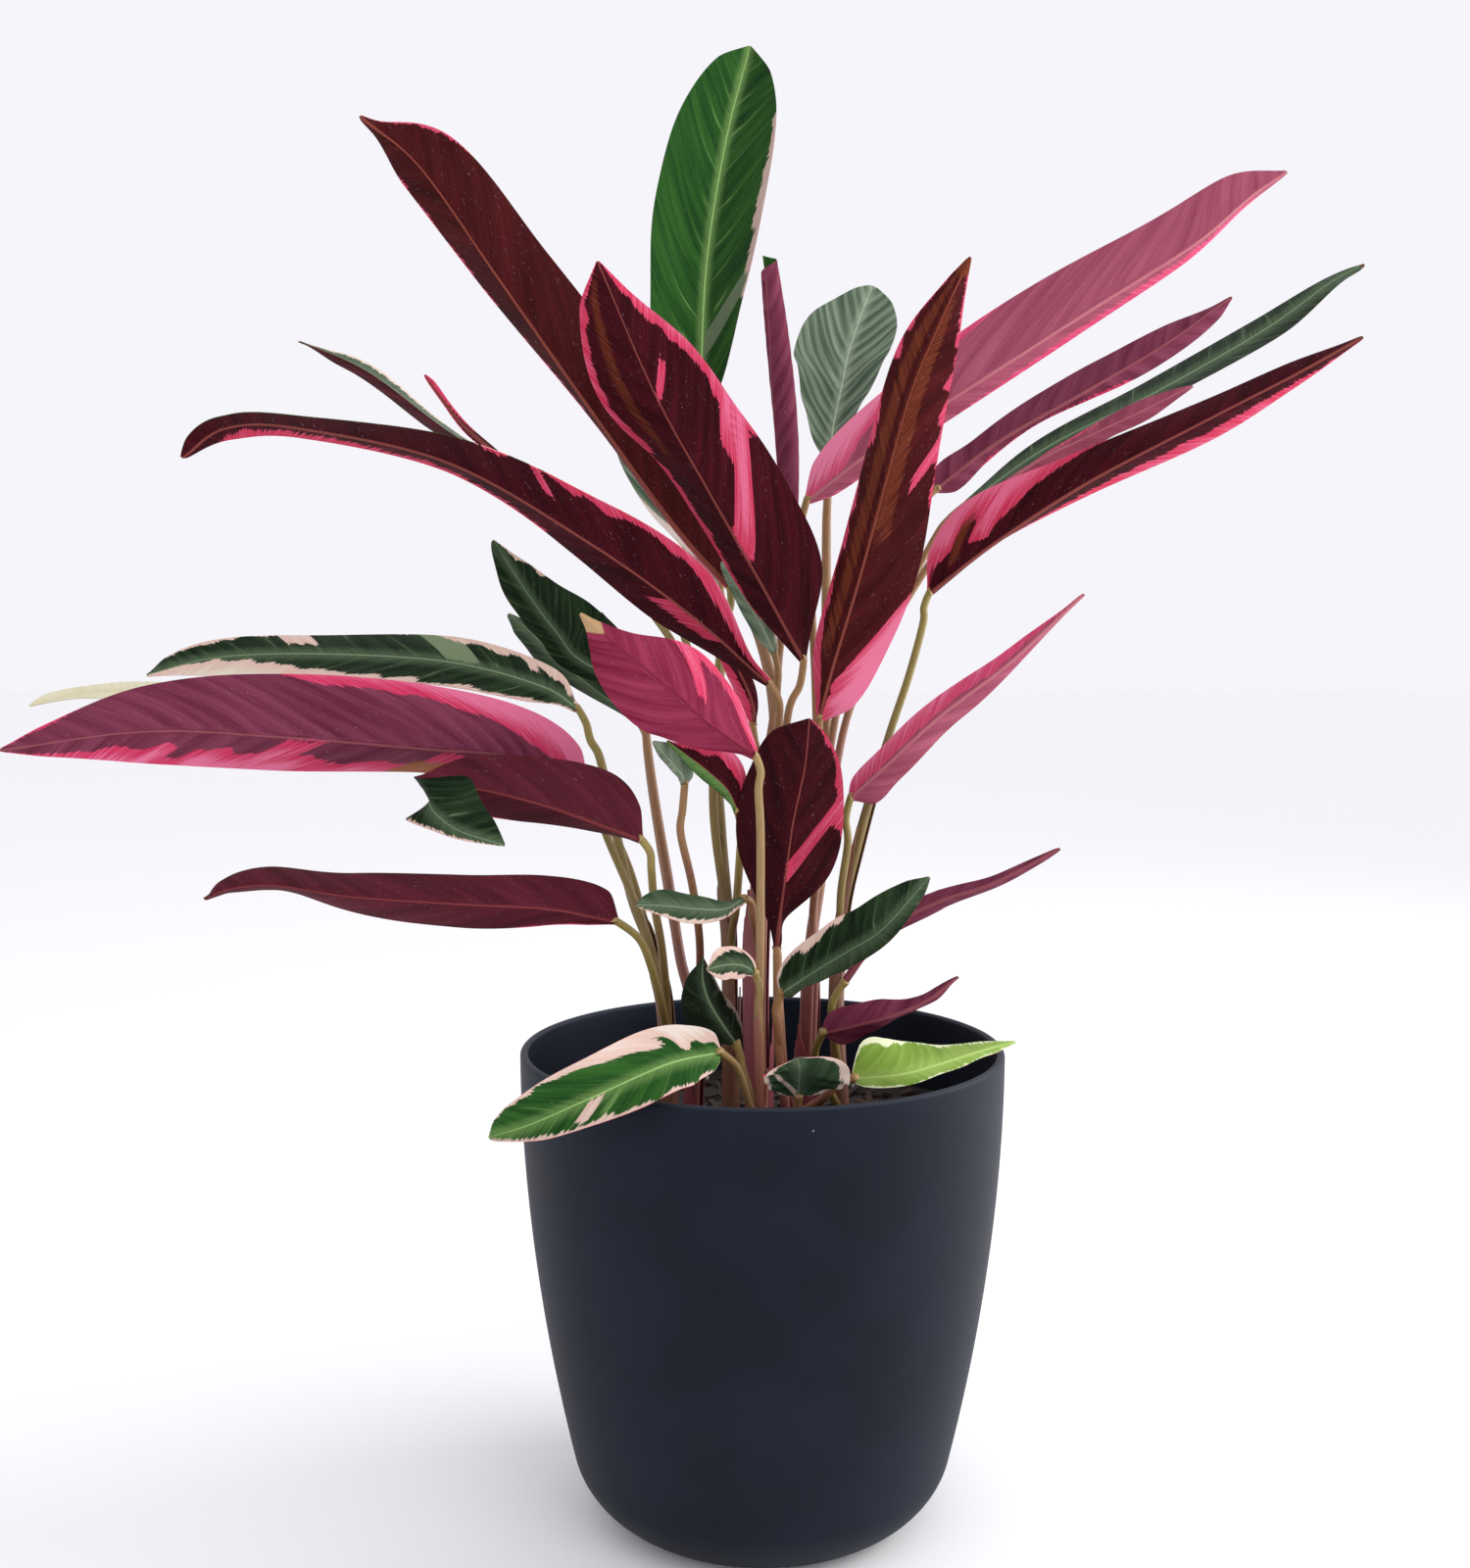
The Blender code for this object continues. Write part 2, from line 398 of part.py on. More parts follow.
def foot_curve(steps, inset):
    """The rounded foot as a curve from the flat underside up to the wall, moved in by inset."""
    corners = [(FOOT_RADIUS, 0.0), (FOOT_RADIUS + FOOT_SPREAD, 0.0),
               (WAIST_RADIUS - HEEL_INSET, HEEL_HEIGHT), (WAIST_RADIUS, WAIST_HEIGHT)]
    curve = []
    for step in range(steps + 1):
        along = step / steps
        weights = ((1 - along) ** 3, 3 * along * (1 - along) ** 2, 3 * along ** 2 * (1 - along),
                   along ** 3)
        radius = sum(weight * corner[0] for weight, corner in zip(weights, corners))
        height = sum(weight * corner[1] for weight, corner in zip(weights, corners))
        lift = inset * (1 - along)
        curve.append((radius - inset * (0.6 + 0.4 * along), height + lift))
    return curve


def build_pot():
    outline = [(0.0, 0.0)]
    outline += foot_curve(4, 0.0)
    outline += [(body_radius(height), height) for height in WALL_HEIGHTS]
    lip_centre = RIM_RADIUS - LIP_ROUND
    for turn in (0, 45, 90, 135, 180):
        angle = math.radians(turn)
        outline.append((lip_centre + LIP_ROUND * math.cos(angle),
                        POT_HEIGHT - LIP_ROUND + LIP_ROUND * math.sin(angle)))
    outline += [(body_radius(height) - WALL, height) for height in reversed(WALL_HEIGHTS)]
    outline += reversed(foot_curve(3, FLOOR))
    outline.append((0.0, FLOOR))
    return turned("pot", outline, POT_SIDES, POT_COLOUR, 0.5)


def build_soil():
    """The pot's filling, a little lumpy on top, with a plain hole for each shoot."""
    draw = random.Random(7)
    outline = [(0.0, FLOOR + FIT_GAP)]
    outline += [(radius - FIT_GAP, height + FIT_GAP) for radius, height in foot_curve(3, FLOOR)]
    for height in WALL_HEIGHTS[:-1]:
        outline.append((body_radius(height) - WALL - FIT_GAP, height))
    outline.append((body_radius(SOIL_TOP) - WALL - 2 * FIT_GAP, SOIL_TOP))
    outline += [(RIM_RADIUS * share, SOIL_TOP) for share in SOIL_RINGS]
    outline.append((0.0, SOIL_TOP))
    soil = turned("soil", outline, SOIL_SIDES, SOIL_COLOUR, 0.95)
    for vertex in soil.data.vertices:
        across = math.hypot(vertex.co.x, vertex.co.y)
        if vertex.co.z > SOIL_TOP - MM and across < 0.85 * RIM_RADIUS:
            vertex.co.z += SOIL_LUMP * draw.uniform(-1, 1)
    cutters = []
    for shoot in SHOOTS.values():
        x, y, _ = shoot["line"][0]
        hole_radius = shoot["radius"] * MM + HOLE_CLEARANCE
        cutters.append(tube([Vector((x, y, 0)) * MM + Vector((0, 0, SOIL_TOP - HOLE_DEPTH)),
                             Vector((x, y, 0)) * MM + Vector((0, 0, SOIL_TOP + 10 * MM))],
                            [hole_radius, hole_radius], TRUNK_SIDES, 1))
    holes = joined("soil_holes", cutters, SOIL_COLOUR, 0.95)
    cut = soil.modifiers.new("holes", "BOOLEAN")
    cut.operation = "DIFFERENCE"
    cut.object = holes
    holes.hide_render = True
    holes.display_type = "WIRE"
    return soil


def tube(line, radii, sides, steps):
    """A closed round stem along a line; returns its points and faces."""
    points = []
    faces = []
    centres = [spline(line, step / steps) for step in range(steps + 1)]
    side_way = None
    for step, centre in enumerate(centres):
        ahead = spline(line, step / steps + 0.01) - spline(line, step / steps - 0.01)
        ahead.normalize()
        if side_way is None:
            side_way = ahead.orthogonal()
        side_way = (side_way - ahead * side_way.dot(ahead)).normalized()
        up_way = ahead.cross(side_way)
        radius = radii[0] + (radii[1] - radii[0]) * step / steps
        for side in range(sides):
            angle = 2 * math.pi * side / sides
            points.append(centre + (side_way * math.cos(angle) + up_way * math.sin(angle)) * radius)
    for step in range(steps):
        for side in range(sides):
            low = step * sides + side
            beside = step * sides + (side + 1) % sides
            faces.append((low, beside, beside + sides, low + sides))
    faces.append(tuple(reversed(range(sides))))
    faces.append(tuple(range(steps * sides, (steps + 1) * sides)))
    return points, faces


def joined(name, tubes, colour, roughness):
    """One object that holds several closed stems."""
    points = []
    faces = []
    for tube_points, tube_faces in tubes:
        start = len(points)
        points += tube_points
        faces += [tuple(index + start for index in face) for face in tube_faces]
    return add_object(name, points, faces, colour, roughness)


def fused(name, tubes, colour, roughness):
    """One solid from closed stems that run into each other, by a Boolean union."""
    parts = bpy.data.collections.new(name + "_stems")
    bpy.context.scene.collection.children.link(parts)
    for index, (points, faces) in enumerate(tubes[1:]):
        stem = add_object(f"{name}_stem_{index}", points, faces, colour, roughness)
        bpy.context.scene.collection.objects.unlink(stem)
        parts.objects.link(stem)
    whole = add_object(name, tubes[0][0], tubes[0][1], colour, roughness)
    if parts.objects:
        union = whole.modifiers.new("union", "BOOLEAN")
        union.operation = "UNION"
        union.operand_type = "COLLECTION"
        union.collection = parts
        bpy.context.view_layer.update()
        view = bpy.context.evaluated_depsgraph_get()
        mesh = bpy.data.meshes.new_from_object(whole.evaluated_get(view))
        whole.modifiers.clear()
        whole.data = mesh
    for stem in list(parts.objects):
        bpy.data.objects.remove(stem)
    bpy.data.collections.remove(parts)
    return whole


def smooth_row(places, values, share):
    """A smooth curve through the values at the given places."""
    spans = len(places) - 1
    index = 0
    while index < spans - 1 and share > places[index + 1]:
        index += 1
    slopes = []
    for end in (index, index + 1):
        low = max(end - 1, 0)
        high = min(end + 1, spans)
        slopes.append((values[high] - values[low]) / (places[high] - places[low]))
    width = places[index + 1] - places[index]
    local = (share - places[index]) / width
    square = local * local
    cube = square * local
    return (values[index] * (2 * cube - 3 * square + 1) + values[index + 1] * (3 * square - 2 * cube)
            + slopes[0] * width * (cube - 2 * square + local) + slopes[1] * width * (cube - square))


def edge_reach(reaches, share):
    """How far an edge is from the rib, with a narrow base and a pointed tip."""
    values = (BASE_HALF_WIDTH, *reaches, TIP_HALF_WIDTH)
    least = TIP_HALF_WIDTH + (BASE_HALF_WIDTH - TIP_HALF_WIDTH) * (1 - share) ** 2
    return max(smooth_row(REACH_PLACES, values, share), least)


def blade_frame(leaf, share):
    """Rib point, growing direction, left-hand direction and front-facing direction."""
    rib = [Vector(point) for point in leaf["rib"]]
    point = spline(rib, share)
    ahead = (spline(rib, share + 0.01) - spline(rib, share - 0.01)).normalized()
    if "across" in leaf:
        across = Vector(leaf["across"])
        left_way = (across - ahead * across.dot(ahead)).normalized()
    else:
        left_way = ahead.cross(Vector((0, 1, 0))).normalized()
    return point, ahead, left_way, ahead.cross(left_way)


def open_blade_point(leaf, share, across):
    """A point of a flat or folded blade; across runs from -1 (right edge) to 1 (left edge)."""
    point, _, left_way, front_way = blade_frame(leaf, share)
    side = "left" if across > 0 else "right"
    reach = edge_reach(leaf[side], share)
    fullness = math.sqrt(max(4 * share * (1 - share), 0.0))
    rise = three_way(leaf[side + "_rise"], share) * fullness * abs(across) ** CUP
    turn = 2 * math.pi * WAVES * share + (WAVE_SHIFT if across > 0 else 0.0)
    ripple = leaf["wave"] * across * across * math.sin(turn) * fullness
    return point + left_way * reach * across + front_way * (rise + ripple)


def rolled_blade_point(leaf, share, across):
    """A point of a leaf still rolled up: the blade winds round its rib."""
    point, ahead, left_way, front_way = blade_frame(leaf, share)
    turns = (across + 1) / 2 * ROLL_TURNS
    swell = math.sin(math.pi * (ROLL_FOOT + (ROLL_MOUTH - ROLL_FOOT) * share)) ** ROLL_SWELL
    radius = leaf["roll"] * (0.3 + 0.6 * swell) + ROLL_GAP * turns
    angle = 2 * math.pi * turns + ROLL_START + ROLL_TWIST * share
    slant = ahead * ROLL_SLANT * across * share ** 3
    return (point + slant
            + (left_way * math.cos(angle) + front_way * math.sin(angle)) * radius)


def build_blade(leaf):
    """A thin closed blade, split into triangles alike on both faces."""
    long_cells = leaf["cells"]
    rolled = "roll" in leaf
    wide_cells = ROLL_CELLS if rolled else BLADE_CELLS
    place = rolled_blade_point if rolled else open_blade_point
    grid = []
    for row in range(long_cells + 1):
        share = row / long_cells
        grid.append([place(leaf, share, 2 * column / wide_cells - 1) * MM
                     for column in range(wide_cells + 1)])
    return sheet(leaf["name"], grid, BLADE_THICKNESS, leaf["colour"])


def sheet(name, grid, thickness, colour):
    """A closed sheet of even thickness round a grid of middle points."""
    rows = len(grid)
    columns = len(grid[0])
    front = []
    back = []
    for row in range(rows):
        for column in range(columns):
            along = grid[min(row + 1, rows - 1)][column] - grid[max(row - 1, 0)][column]
            over = grid[row][min(column + 1, columns - 1)] - grid[row][max(column - 1, 0)]
            out = along.cross(over).normalized() * thickness / 2
            front.append(grid[row][column] + out)
            back.append(grid[row][column] - out)
    shift = len(front)

    def spot(row, column):
        return row * columns + column

    faces = []
    for row in range(rows - 1):
        for column in range(columns - 1):
            a = spot(row, column)
            b = spot(row + 1, column)
            c = spot(row + 1, column + 1)
            d = spot(row, column + 1)
            faces += [(a, b, c), (a, c, d)]
            faces += [(c + shift, b + shift, a + shift), (d + shift, c + shift, a + shift)]
    loop = [spot(row, 0) for row in range(rows)]
    loop += [spot(rows - 1, column) for column in range(1, columns)]
    loop += [spot(row, columns - 1) for row in range(rows - 2, -1, -1)]
    loop += [spot(0, column) for column in range(columns - 2, 0, -1)]
    for index, here in enumerate(loop):
        ahead = loop[(index + 1) % len(loop)]
        faces += [(here, here + shift, ahead + shift), (here, ahead + shift, ahead)]
    return add_object(name, front + back, faces, colour, 0.45)


def stalk_tube(leaf):
    """The stalk that ends just short of its blade and runs down into its shoot."""
    rib = [Vector(point) for point in leaf["rib"]]
    start_way = (spline(rib, 0.01) - spline(rib, 0.0)).normalized()
    top = rib[0] * MM - start_way * STALK_GAP
    below = top - start_way * STALK_NECK
    line = [top, below] + [Vector(point) * MM for point in leaf["stalk"]]
    line.reverse()
    steps = len(line) + 2
    return tube(line, [STALK_RADIUS * 1.25, STALK_RADIUS], STALK_SIDES, steps)


def build_shoot(name, shoot):
    """The thick stem, sunk in the soil, and every stalk that leaves it, as one solid."""
    line = [Vector(point) * MM for point in shoot["line"]]
    foot = Vector((line[0].x, line[0].y, TRUNK_FOOT))
    radius = shoot["radius"] * MM
    tubes = [tube([foot] + line, [radius, radius * 0.8], TRUNK_SIDES, 2 * len(line))]
    for leaf in LEAVES:
        if leaf["shoot"] == name:
            tubes.append(stalk_tube(leaf))
    if name == "shoot_front_right":
        stub = [Vector(point) * MM for point in CUT_STALK]
        tubes.append(tube(stub, [CUT_STALK_RADIUS, CUT_STALK_RADIUS], CUT_STALK_SIDES, 3))
    return fused(name, tubes, shoot["colour"], 0.6)


for old in list(bpy.data.objects):
    bpy.data.objects.remove(old)

build_pot()
build_soil()
for shoot_name, shoot_parts in SHOOTS.items():
    build_shoot(shoot_name, shoot_parts)
for leaf_parts in LEAVES:
    build_blade(leaf_parts)
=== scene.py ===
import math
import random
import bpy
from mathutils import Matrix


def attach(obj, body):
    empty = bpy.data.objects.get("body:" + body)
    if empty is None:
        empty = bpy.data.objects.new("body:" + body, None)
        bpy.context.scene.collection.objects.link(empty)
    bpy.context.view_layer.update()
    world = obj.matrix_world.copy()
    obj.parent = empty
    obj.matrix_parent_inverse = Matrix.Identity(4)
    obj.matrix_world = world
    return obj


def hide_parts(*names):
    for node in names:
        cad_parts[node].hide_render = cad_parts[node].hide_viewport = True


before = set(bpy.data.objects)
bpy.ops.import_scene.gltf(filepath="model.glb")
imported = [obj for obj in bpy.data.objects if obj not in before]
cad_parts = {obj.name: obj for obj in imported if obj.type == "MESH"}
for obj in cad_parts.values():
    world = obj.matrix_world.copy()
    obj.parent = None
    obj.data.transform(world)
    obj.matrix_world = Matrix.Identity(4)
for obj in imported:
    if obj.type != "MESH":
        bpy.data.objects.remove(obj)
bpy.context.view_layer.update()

# Stromanthe in its planter: fine leaf blades with their variegation, stalks, soil and pot
# Metres, +Z up; the tables of shoots and leaves are in millimetres

from types import SimpleNamespace

import bpy
import numpy as np
from mathutils import Vector, noise

MM = 0.001
BODY = "root"
TURN = 2 * math.pi

# Pot
RIM_RADIUS = 120.0 * MM
POT_HEIGHT = 233.0 * MM
FOOT_RADIUS = 62.0 * MM
WAIST_RADIUS = 94.5 * MM
WAIST_HEIGHT = 28.0 * MM
WALL = 4.0 * MM
LIP_ROUND = 2.0 * MM
FLOOR = 5.0 * MM
FOOT_SPREAD = 12.0 * MM
HEEL_INSET = 4.5 * MM
HEEL_HEIGHT = 12.0 * MM
BODY_CURVE = 1.9
POT_SIDES = 160
WALL_STEPS = 30
FOOT_STEPS = 14
LIP_DEGREES = 15
POT_DEEP = (13, 16, 24)
POT_LIGHT = (21, 25, 37)
# Painted highlight along the top of the lip
POT_LIP_HIGHLIGHT = (70, 73, 80)
POT_SHINE_TINT = (0.65, 0.8, 1.0, 1.0)

# Marks on the pot: place, size in mm and colour
POT_MARKS = [((20, -118, 223), 1.0, (190, 190, 190)), ((64, -98, 170), 1.3, (6, 6, 8))]

# Soil, with chips of bark strewn over it, every ninth one a white grain
SOIL_TOP = 192.0 * MM
SOIL_GAP = 0.3 * MM
SOIL_SIDES = 96
SOIL_RINGS = 40
SOIL_LUMP = 2.2 * MM
SOIL_COLOURS = ((13, 10, 8), (38, 28, 20))
BARK_COLOURS = ((36, 24, 16), (66, 46, 30))
GRAIN_COLOUR = (176, 170, 160)
CHIPS = 420
CHIP_LENGTHS = (3, 9)
GRAIN_EVERY = 9
GRAIN_LENGTHS = (1.2, 2.2)
CHIP_LIFT = 1.2 * MM

# A chip's corners are numbered round its lower and then its upper face
CHIP_CORNERS = [(-0.5, -0.5), (0.5, -0.5), (0.5, 0.5), (-0.5, 0.5)]
CHIP_FACES = [(3, 2, 1, 0), (4, 5, 6, 7), (0, 1, 5, 4), (1, 2, 6, 5), (2, 3, 7, 6), (3, 0, 4, 7)]

# Blades
ROW_STEP = 1.7
LEAST_ROWS = 30
BLADE_CELLS = 30
MIDDLE_THICKNESS = 0.75
EDGE_THICKNESS = 0.35
BASE_HALF_WIDTH = 1.7
TIP_HALF_WIDTH = 0.6
REACH_PLACES = (0.0, 0.06, 0.2, 0.4, 0.6, 0.8, 0.94, 1.0)
CUP = 1.3
WAVES = 4
WAVE_SHIFT = 1.7
RIB_STEPS = 40

# The furled blade, wound round its rib
ROLL_CELLS = 60
ROLL_TURNS = 1.24
ROLL_GAP = 1.7
ROLL_START = 2.4
ROLL_TWIST = 1.2
ROLL_SLANT = 7.0
ROLL_FOOT = 0.03
ROLL_MOUTH = 0.92
ROLL_SWELL = 0.6

# Veins leave the rib at a slant and bend toward the tip; pleats and flames follow them
VEIN_LEAN = 1.3
VEIN_BEND = 0.02
PLEAT_PITCH = 11.0
PLEAT_HEIGHT = 0.1
PLEAT_WANDER = 14.0
WANDER_PITCH = 26.0
RIB_HEIGHT = 0.55
RIB_SPREAD = 1.3
TOOTH_PITCH = 9.0
TOOTH_DEPTH = 3.0
TOOTH_REACH = 14.0

# Colour noise over a blade: cycles in each mm along the veins and out from the rib
FINE_STREAKS = (0.75, 0.07)
BROAD_STREAKS = (0.09, 0.03)
MOTTLE = 0.3
SPECKS = 1.4
FOLD_WANDER = 18.0
PLAIN_TONES = (0.24, 0.8)
BLADE_SHINE = 0.03

# A margin's start in percent of the way from rib to edge; none shows beyond EDGE_LIMIT
NO_EDGE = (130,) * 6
EDGE_LIMIT = 115

# Depths in mm: where no margin or streak is, and where a streak runs on past the leaf's edge
OUTSIDE = -9.0
ENDLESS = 99.0

# How fast streaks and bands deepen from their ends, and the depth a band stops at in mm
STREAK_SLOPE = 0.7
BAND_SLOPE = 0.15
BAND_DEPTH = 0.4
LEAST_ACROSS = 0.05

# Stalks; each shoot's first one is thick low down
STALK_SIDES = 12
STALK_RADIUS = 1.75
LOW_SWELL = 1.25
MAIN_SHARE = 0.85
STALK_DEPTH = 12
STALK_STEP = 3.0
LEAST_STEPS = 8
END_SHARE = 0.7
NECK_LENGTH = 13.0
NECK_JOIN = 1.5
TRUNK_GAP = 14
KNEE_LENGTH = 16.0
KNEE_SWELL = 1.3
KNEE_COLOUR = (176, 148, 96)
GOLDEN_ANGLE = 2.4
BUNDLE_SPREAD = 0.62

# A stalk whose leaf was cut off, beside the stalks of the front right shoot
CUT_STALK = [(11, -49, 208), (7, -56, 243), (6, -58, 292)]
CUT_STALK_RADIUS = 2.2

# Sheaths of each shoot: the way each faces (radians) and how far up the stem it reaches
SHEATHS = [(0.4, 0.8), (3.2, 0.55), (5.2, 0.36)]
SHEATH_ROWS = 40
SHEATH_CELLS = 12
SHEATH_ARC = 3.6
SHEATH_THICKNESS = 0.4

# Camera and light; each light has its name, place, size and power
CAMERA_PLACE = (-0.0135, -0.798, 0.420)
CAMERA_TILT = 85.95
CAMERA_LENS = 37.125
FLOOR_HALF = 30.0
FLOOR_COLOUR = (0.985, 0.985, 0.985, 1.0)
SKY_COLOUR = (0.96, 0.95, 1.0, 1.0)
SKY_STRENGTH = 0.96
LIGHTS = [
    ("window_light", (1.75, 0.2, 0.85), 1.3, 28.0),
    ("key_light", (1.1, -1.5, 1.5), 1.2, 7.0),
    ("fill_light", (-1.6, -1.2, 1.1), 1.4, 2.0),
]
LIT_PLACE = (0, 0, 0.4)


def palette(pleat_shade, pitch, deep, light, strong, pale, rib, dry=None):
    """One side of a leaf: how strongly painted shade marks its pleats and how far apart they are in mm,
    and the colours of its plain parts (deep to light), variegated parts (strong to pale), rib and dried
    parts."""
    return dict(pleat_shade=pleat_shade, pitch=pitch, deep=deep, light=light, strong=strong, pale=pale, rib=rib,
                dry=dry)


# Each side's first two values: how strongly painted shade marks its pleats, and their pitch in mm
UNDERSIDES = {
    "maroon": palette(0.05, 12, (38, 9, 12), (80, 20, 32), (196, 52, 82), (222, 108, 142), (138, 72, 66),
                      (104, 48, 30)),
    "wine": palette(0.06, 14, (66, 24, 32), (100, 38, 52), (196, 52, 82), (222, 108, 142), (128, 58, 60),
                    (104, 48, 30)),
    "brown": palette(0.04, 11, (50, 14, 15), (82, 26, 28), (196, 60, 90), (224, 118, 150), (146, 76, 64),
                     (112, 54, 34)),
    "purple": palette(0.12, 13, (96, 36, 56), (134, 66, 88), (204, 52, 92), (228, 118, 154),
                      (148, 84, 90), (150, 104, 62)),
    "mauve": palette(0.05, 11, (140, 62, 84), (180, 96, 118), (206, 70, 108), (230, 128, 160),
                     (196, 120, 128), (150, 104, 62)),
    "rose": palette(0.07, 10, (108, 24, 46), (158, 60, 90), (208, 62, 96), (228, 124, 154), (110, 36, 48),
                    (190, 160, 116)),
}
UPPERSIDES = {
    "green": palette(0.05, 11, (20, 58, 26), (58, 106, 42), (220, 186, 172), (226, 214, 202),
                     (150, 186, 110)),
    "grey": palette(0.3, 12, (66, 84, 66), (124, 140, 118), (222, 200, 188), (222, 218, 206),
                    (168, 184, 158)),
    "sage": palette(0.1, 10, (38, 58, 36), (74, 94, 70), (222, 196, 180), (220, 216, 200),
                    (120, 136, 110)),
    "dark": palette(0.12, 9, (14, 26, 16), (44, 64, 38), (216, 182, 168), (220, 210, 192),
                    (116, 138, 106)),
    "lime": palette(0.1, 8, (98, 132, 44), (132, 160, 70), (216, 222, 184), (214, 222, 180),
                    (160, 186, 104)),
    "pale": palette(0.15, 8, (216, 210, 178), (228, 224, 200), (232, 222, 196), (226, 220, 190),
                    (214, 208, 170)),
}
SAGE = (118, 134, 102)
# Painted shade: the colour that the shaded halves of some leaves are darkened toward
SHADE = (16, 18, 14)
# Whitish specks over the blades: partly dust and scratches, partly a painted sheen
DUST_AND_SHEEN = (190, 180, 184)
DUST_AND_SHEEN_SHARE = 0.35

# Each stalk tint: its slot and its colours low down, high up and on the sheaths
STALK_TINTS = {
    "olive": ("stalk_olive", (120, 92, 56), (150, 132, 66), (130, 84, 70)),
    "rose": ("stalk_rose", (138, 74, 74), (158, 118, 72), (150, 66, 84)),
    "tan": ("stalk_olive", (150, 112, 80), (160, 134, 78), (158, 92, 84)),
}

# Each shoot: its tint, its stem's radius and the line its stem follows up from the soil
SHOOTS = {
    "left": ("olive", 3.3, [(-46, -22, 192), (-47, -22, 255), (-55, -20, 286), (-62, -18, 305),
        (-71, -18, 327)]),
    "left_middle": ("rose", 3.8, [(-34, -2, 192), (-33, -2, 240), (-31, -2, 284)]),
    "centre_left": ("olive", 3, [(-16, -12, 192), (-16, -12, 285), (-19, -12, 310), (-22, -12, 339),
        (-26, -10, 364)]),
    "centre": ("rose", 5, [(-2, -25, 192), (-3, -24, 270), (-1, -22, 327), (3, -18, 370), (6, -8, 402)]),
    "front": ("tan", 1.9, [(-1, -60, 192), (-2, -62, 249), (-2, -65, 283), (-2, -74, 330),
        (-3, -79, 367)]),
    "right": ("rose", 4.6, [(22, 6, 192), (23, 3, 235), (24, 0, 275), (25, -2, 303)]),
    "outer_right": ("olive", 2.6, [(40, -12, 192), (36, -12, 258), (40, -12, 303), (46, -11, 331),
        (54, -10, 362), (62, -9, 389), (70, -8, 412), (78, -7, 442)]),
    "front_right": ("rose", 2.6, [(11, -48, 192), (11, -49, 215), (9, -50, 234)]),
}

LEAVES = []
COMMON = dict(wave=1.0, front="under", under="maroon", upper="green", left_edge=NO_EDGE,
              right_edge=NO_EDGE, dim_left=0.0, dim_right=0.0, flames=(), plain=(), dried=(),
              dried_bands=(), sage=())


def leaf(name, shoot, slot, rib, stalk, **parts):
    """Notes one leaf on its shoot; a part that isn't given is as in COMMON.

    rib and stalk: points, the rib's from base to tip and the stalk's from the blade down.
    left and right: how far each edge reaches from the rib at six places, and how far it rises toward
    the front at base, middle and tip. wave: height of the waves along the edges. roll: radius of a
    furled leaf. across: the way its left side points, where that isn't across the view.
    front: which side faces the viewer (front_left where its left half differs), under and upper: the
    colours of the two sides. left_edge and right_edge: where the variegated margin starts, in percent
    of the way from rib to edge, at the six places. dim_left and dim_right: the painted shade on each
    half.
    flames, plain, dried and sage: streaks along the veins that are variegated, plain, brown or sage,
    as their root on the rib, start and end across the blade and half width. dried_bands: brown bands
    beside the rib, as their first and last share of its length and their start and end across.
    """
    LEAVES.append({**COMMON, **parts, "name": name, "shoot": shoot, "slot": "leaf_" + slot,
                   "rib": vectors(rib), "stalk": vectors(stalk)})


def vectors(points):
    return [Vector(point) for point in points]


leaf("top_green", "centre", "green", wave=1.5, front="upper", under="purple",
     rib=[(-31, 55, 529), (-31, 74, 589), (-28, 99, 648), (-18, 120, 714), (-5, 134, 768)],
     left=((14, 25, 29, 32, 27, 16), (6, 8, 4)), right=((4, 14, 23, 27, 25, 15), (20, 12, 4)),
     stalk=[(-21, 44, 482), (-1, 25, 436), (6, -6, 398)], left_edge=(96, 96, 130, 130, 130, 130),
     right_edge=(130, 130, 92, 86, 94, 130), sage=[(0.25, -0.08, -1, 8)], dim_right=0.4)
leaf("furled", "centre", "rose", roll=5, front="upper", under="purple",
     rib=[(14, 25, 500), (12, 25, 539), (8, 22, 578), (3, 18, 618)],
     stalk=[(12, 18, 461), (8, 6, 422), (5, -10, 396)], right_edge=(30, 30, 40, 50, 60, 80))
leaf("ovate_back", "right", "green", wave=2, front="upper", under="purple", upper="grey",
     rib=[(36, 60, 525), (39, 82, 548), (45, 108, 574), (53, 142, 606), (68, 180, 647)],
     left=((5, 13, 22, 30, 26, 11), (6, 8, 4)), right=((2, 8, 14, 20, 22, 15), (8, 16, 8)),
     stalk=[(34, 50, 487), (33, 30, 412), (31, 10, 333), (25, 0, 290)])
leaf("centre_maroon", "centre", "maroon",
     rib=[(19, -30, 424), (-1, -46, 459), (-26, -68, 501), (-48, -84, 539), (-72, -97, 593)],
     left=((4, 9, 10, 13, 23, 15), (-8, -26, -12)), right=((10, 29, 33, 30, 24, 7), (-8, -6, -4)),
     stalk=[(15, -30, 412), (12, -28, 400), (8, -24, 365), (0, -22, 330)],
     left_edge=(130, 93, 86, 86, 90, 80), right_edge=(130, 130, 130, 84, 84, 60),
     flames=[(0.34, 0, -1, 9), (0.41, -0.5, -1, 9), (0.74, 0, -0.4, 3)],
     dried_bands=[(0.62, 0.96, 0.44, 0.6)])
leaf("upper_left", "centre_left", "maroon", under="brown",
     rib=[(-16, 0, 460), (-42, -11, 489), (-77, -28, 536), (-120, -50, 596), (-153, -63, 642),
          (-178, -70, 662)],
     left=((1, 1, 2, 8, 10, 2), (-16, -27, -14)), right=((9, 22, 29, 25, 20, 5), (-8, -12, -6)),
     stalk=[(-19, -4, 441), (-23, -8, 402), (-24, -11, 352)], left_edge=(40, 70, 93, 95, 97, 130),
     right_edge=(130, 130, 130, 130, 96, 90))
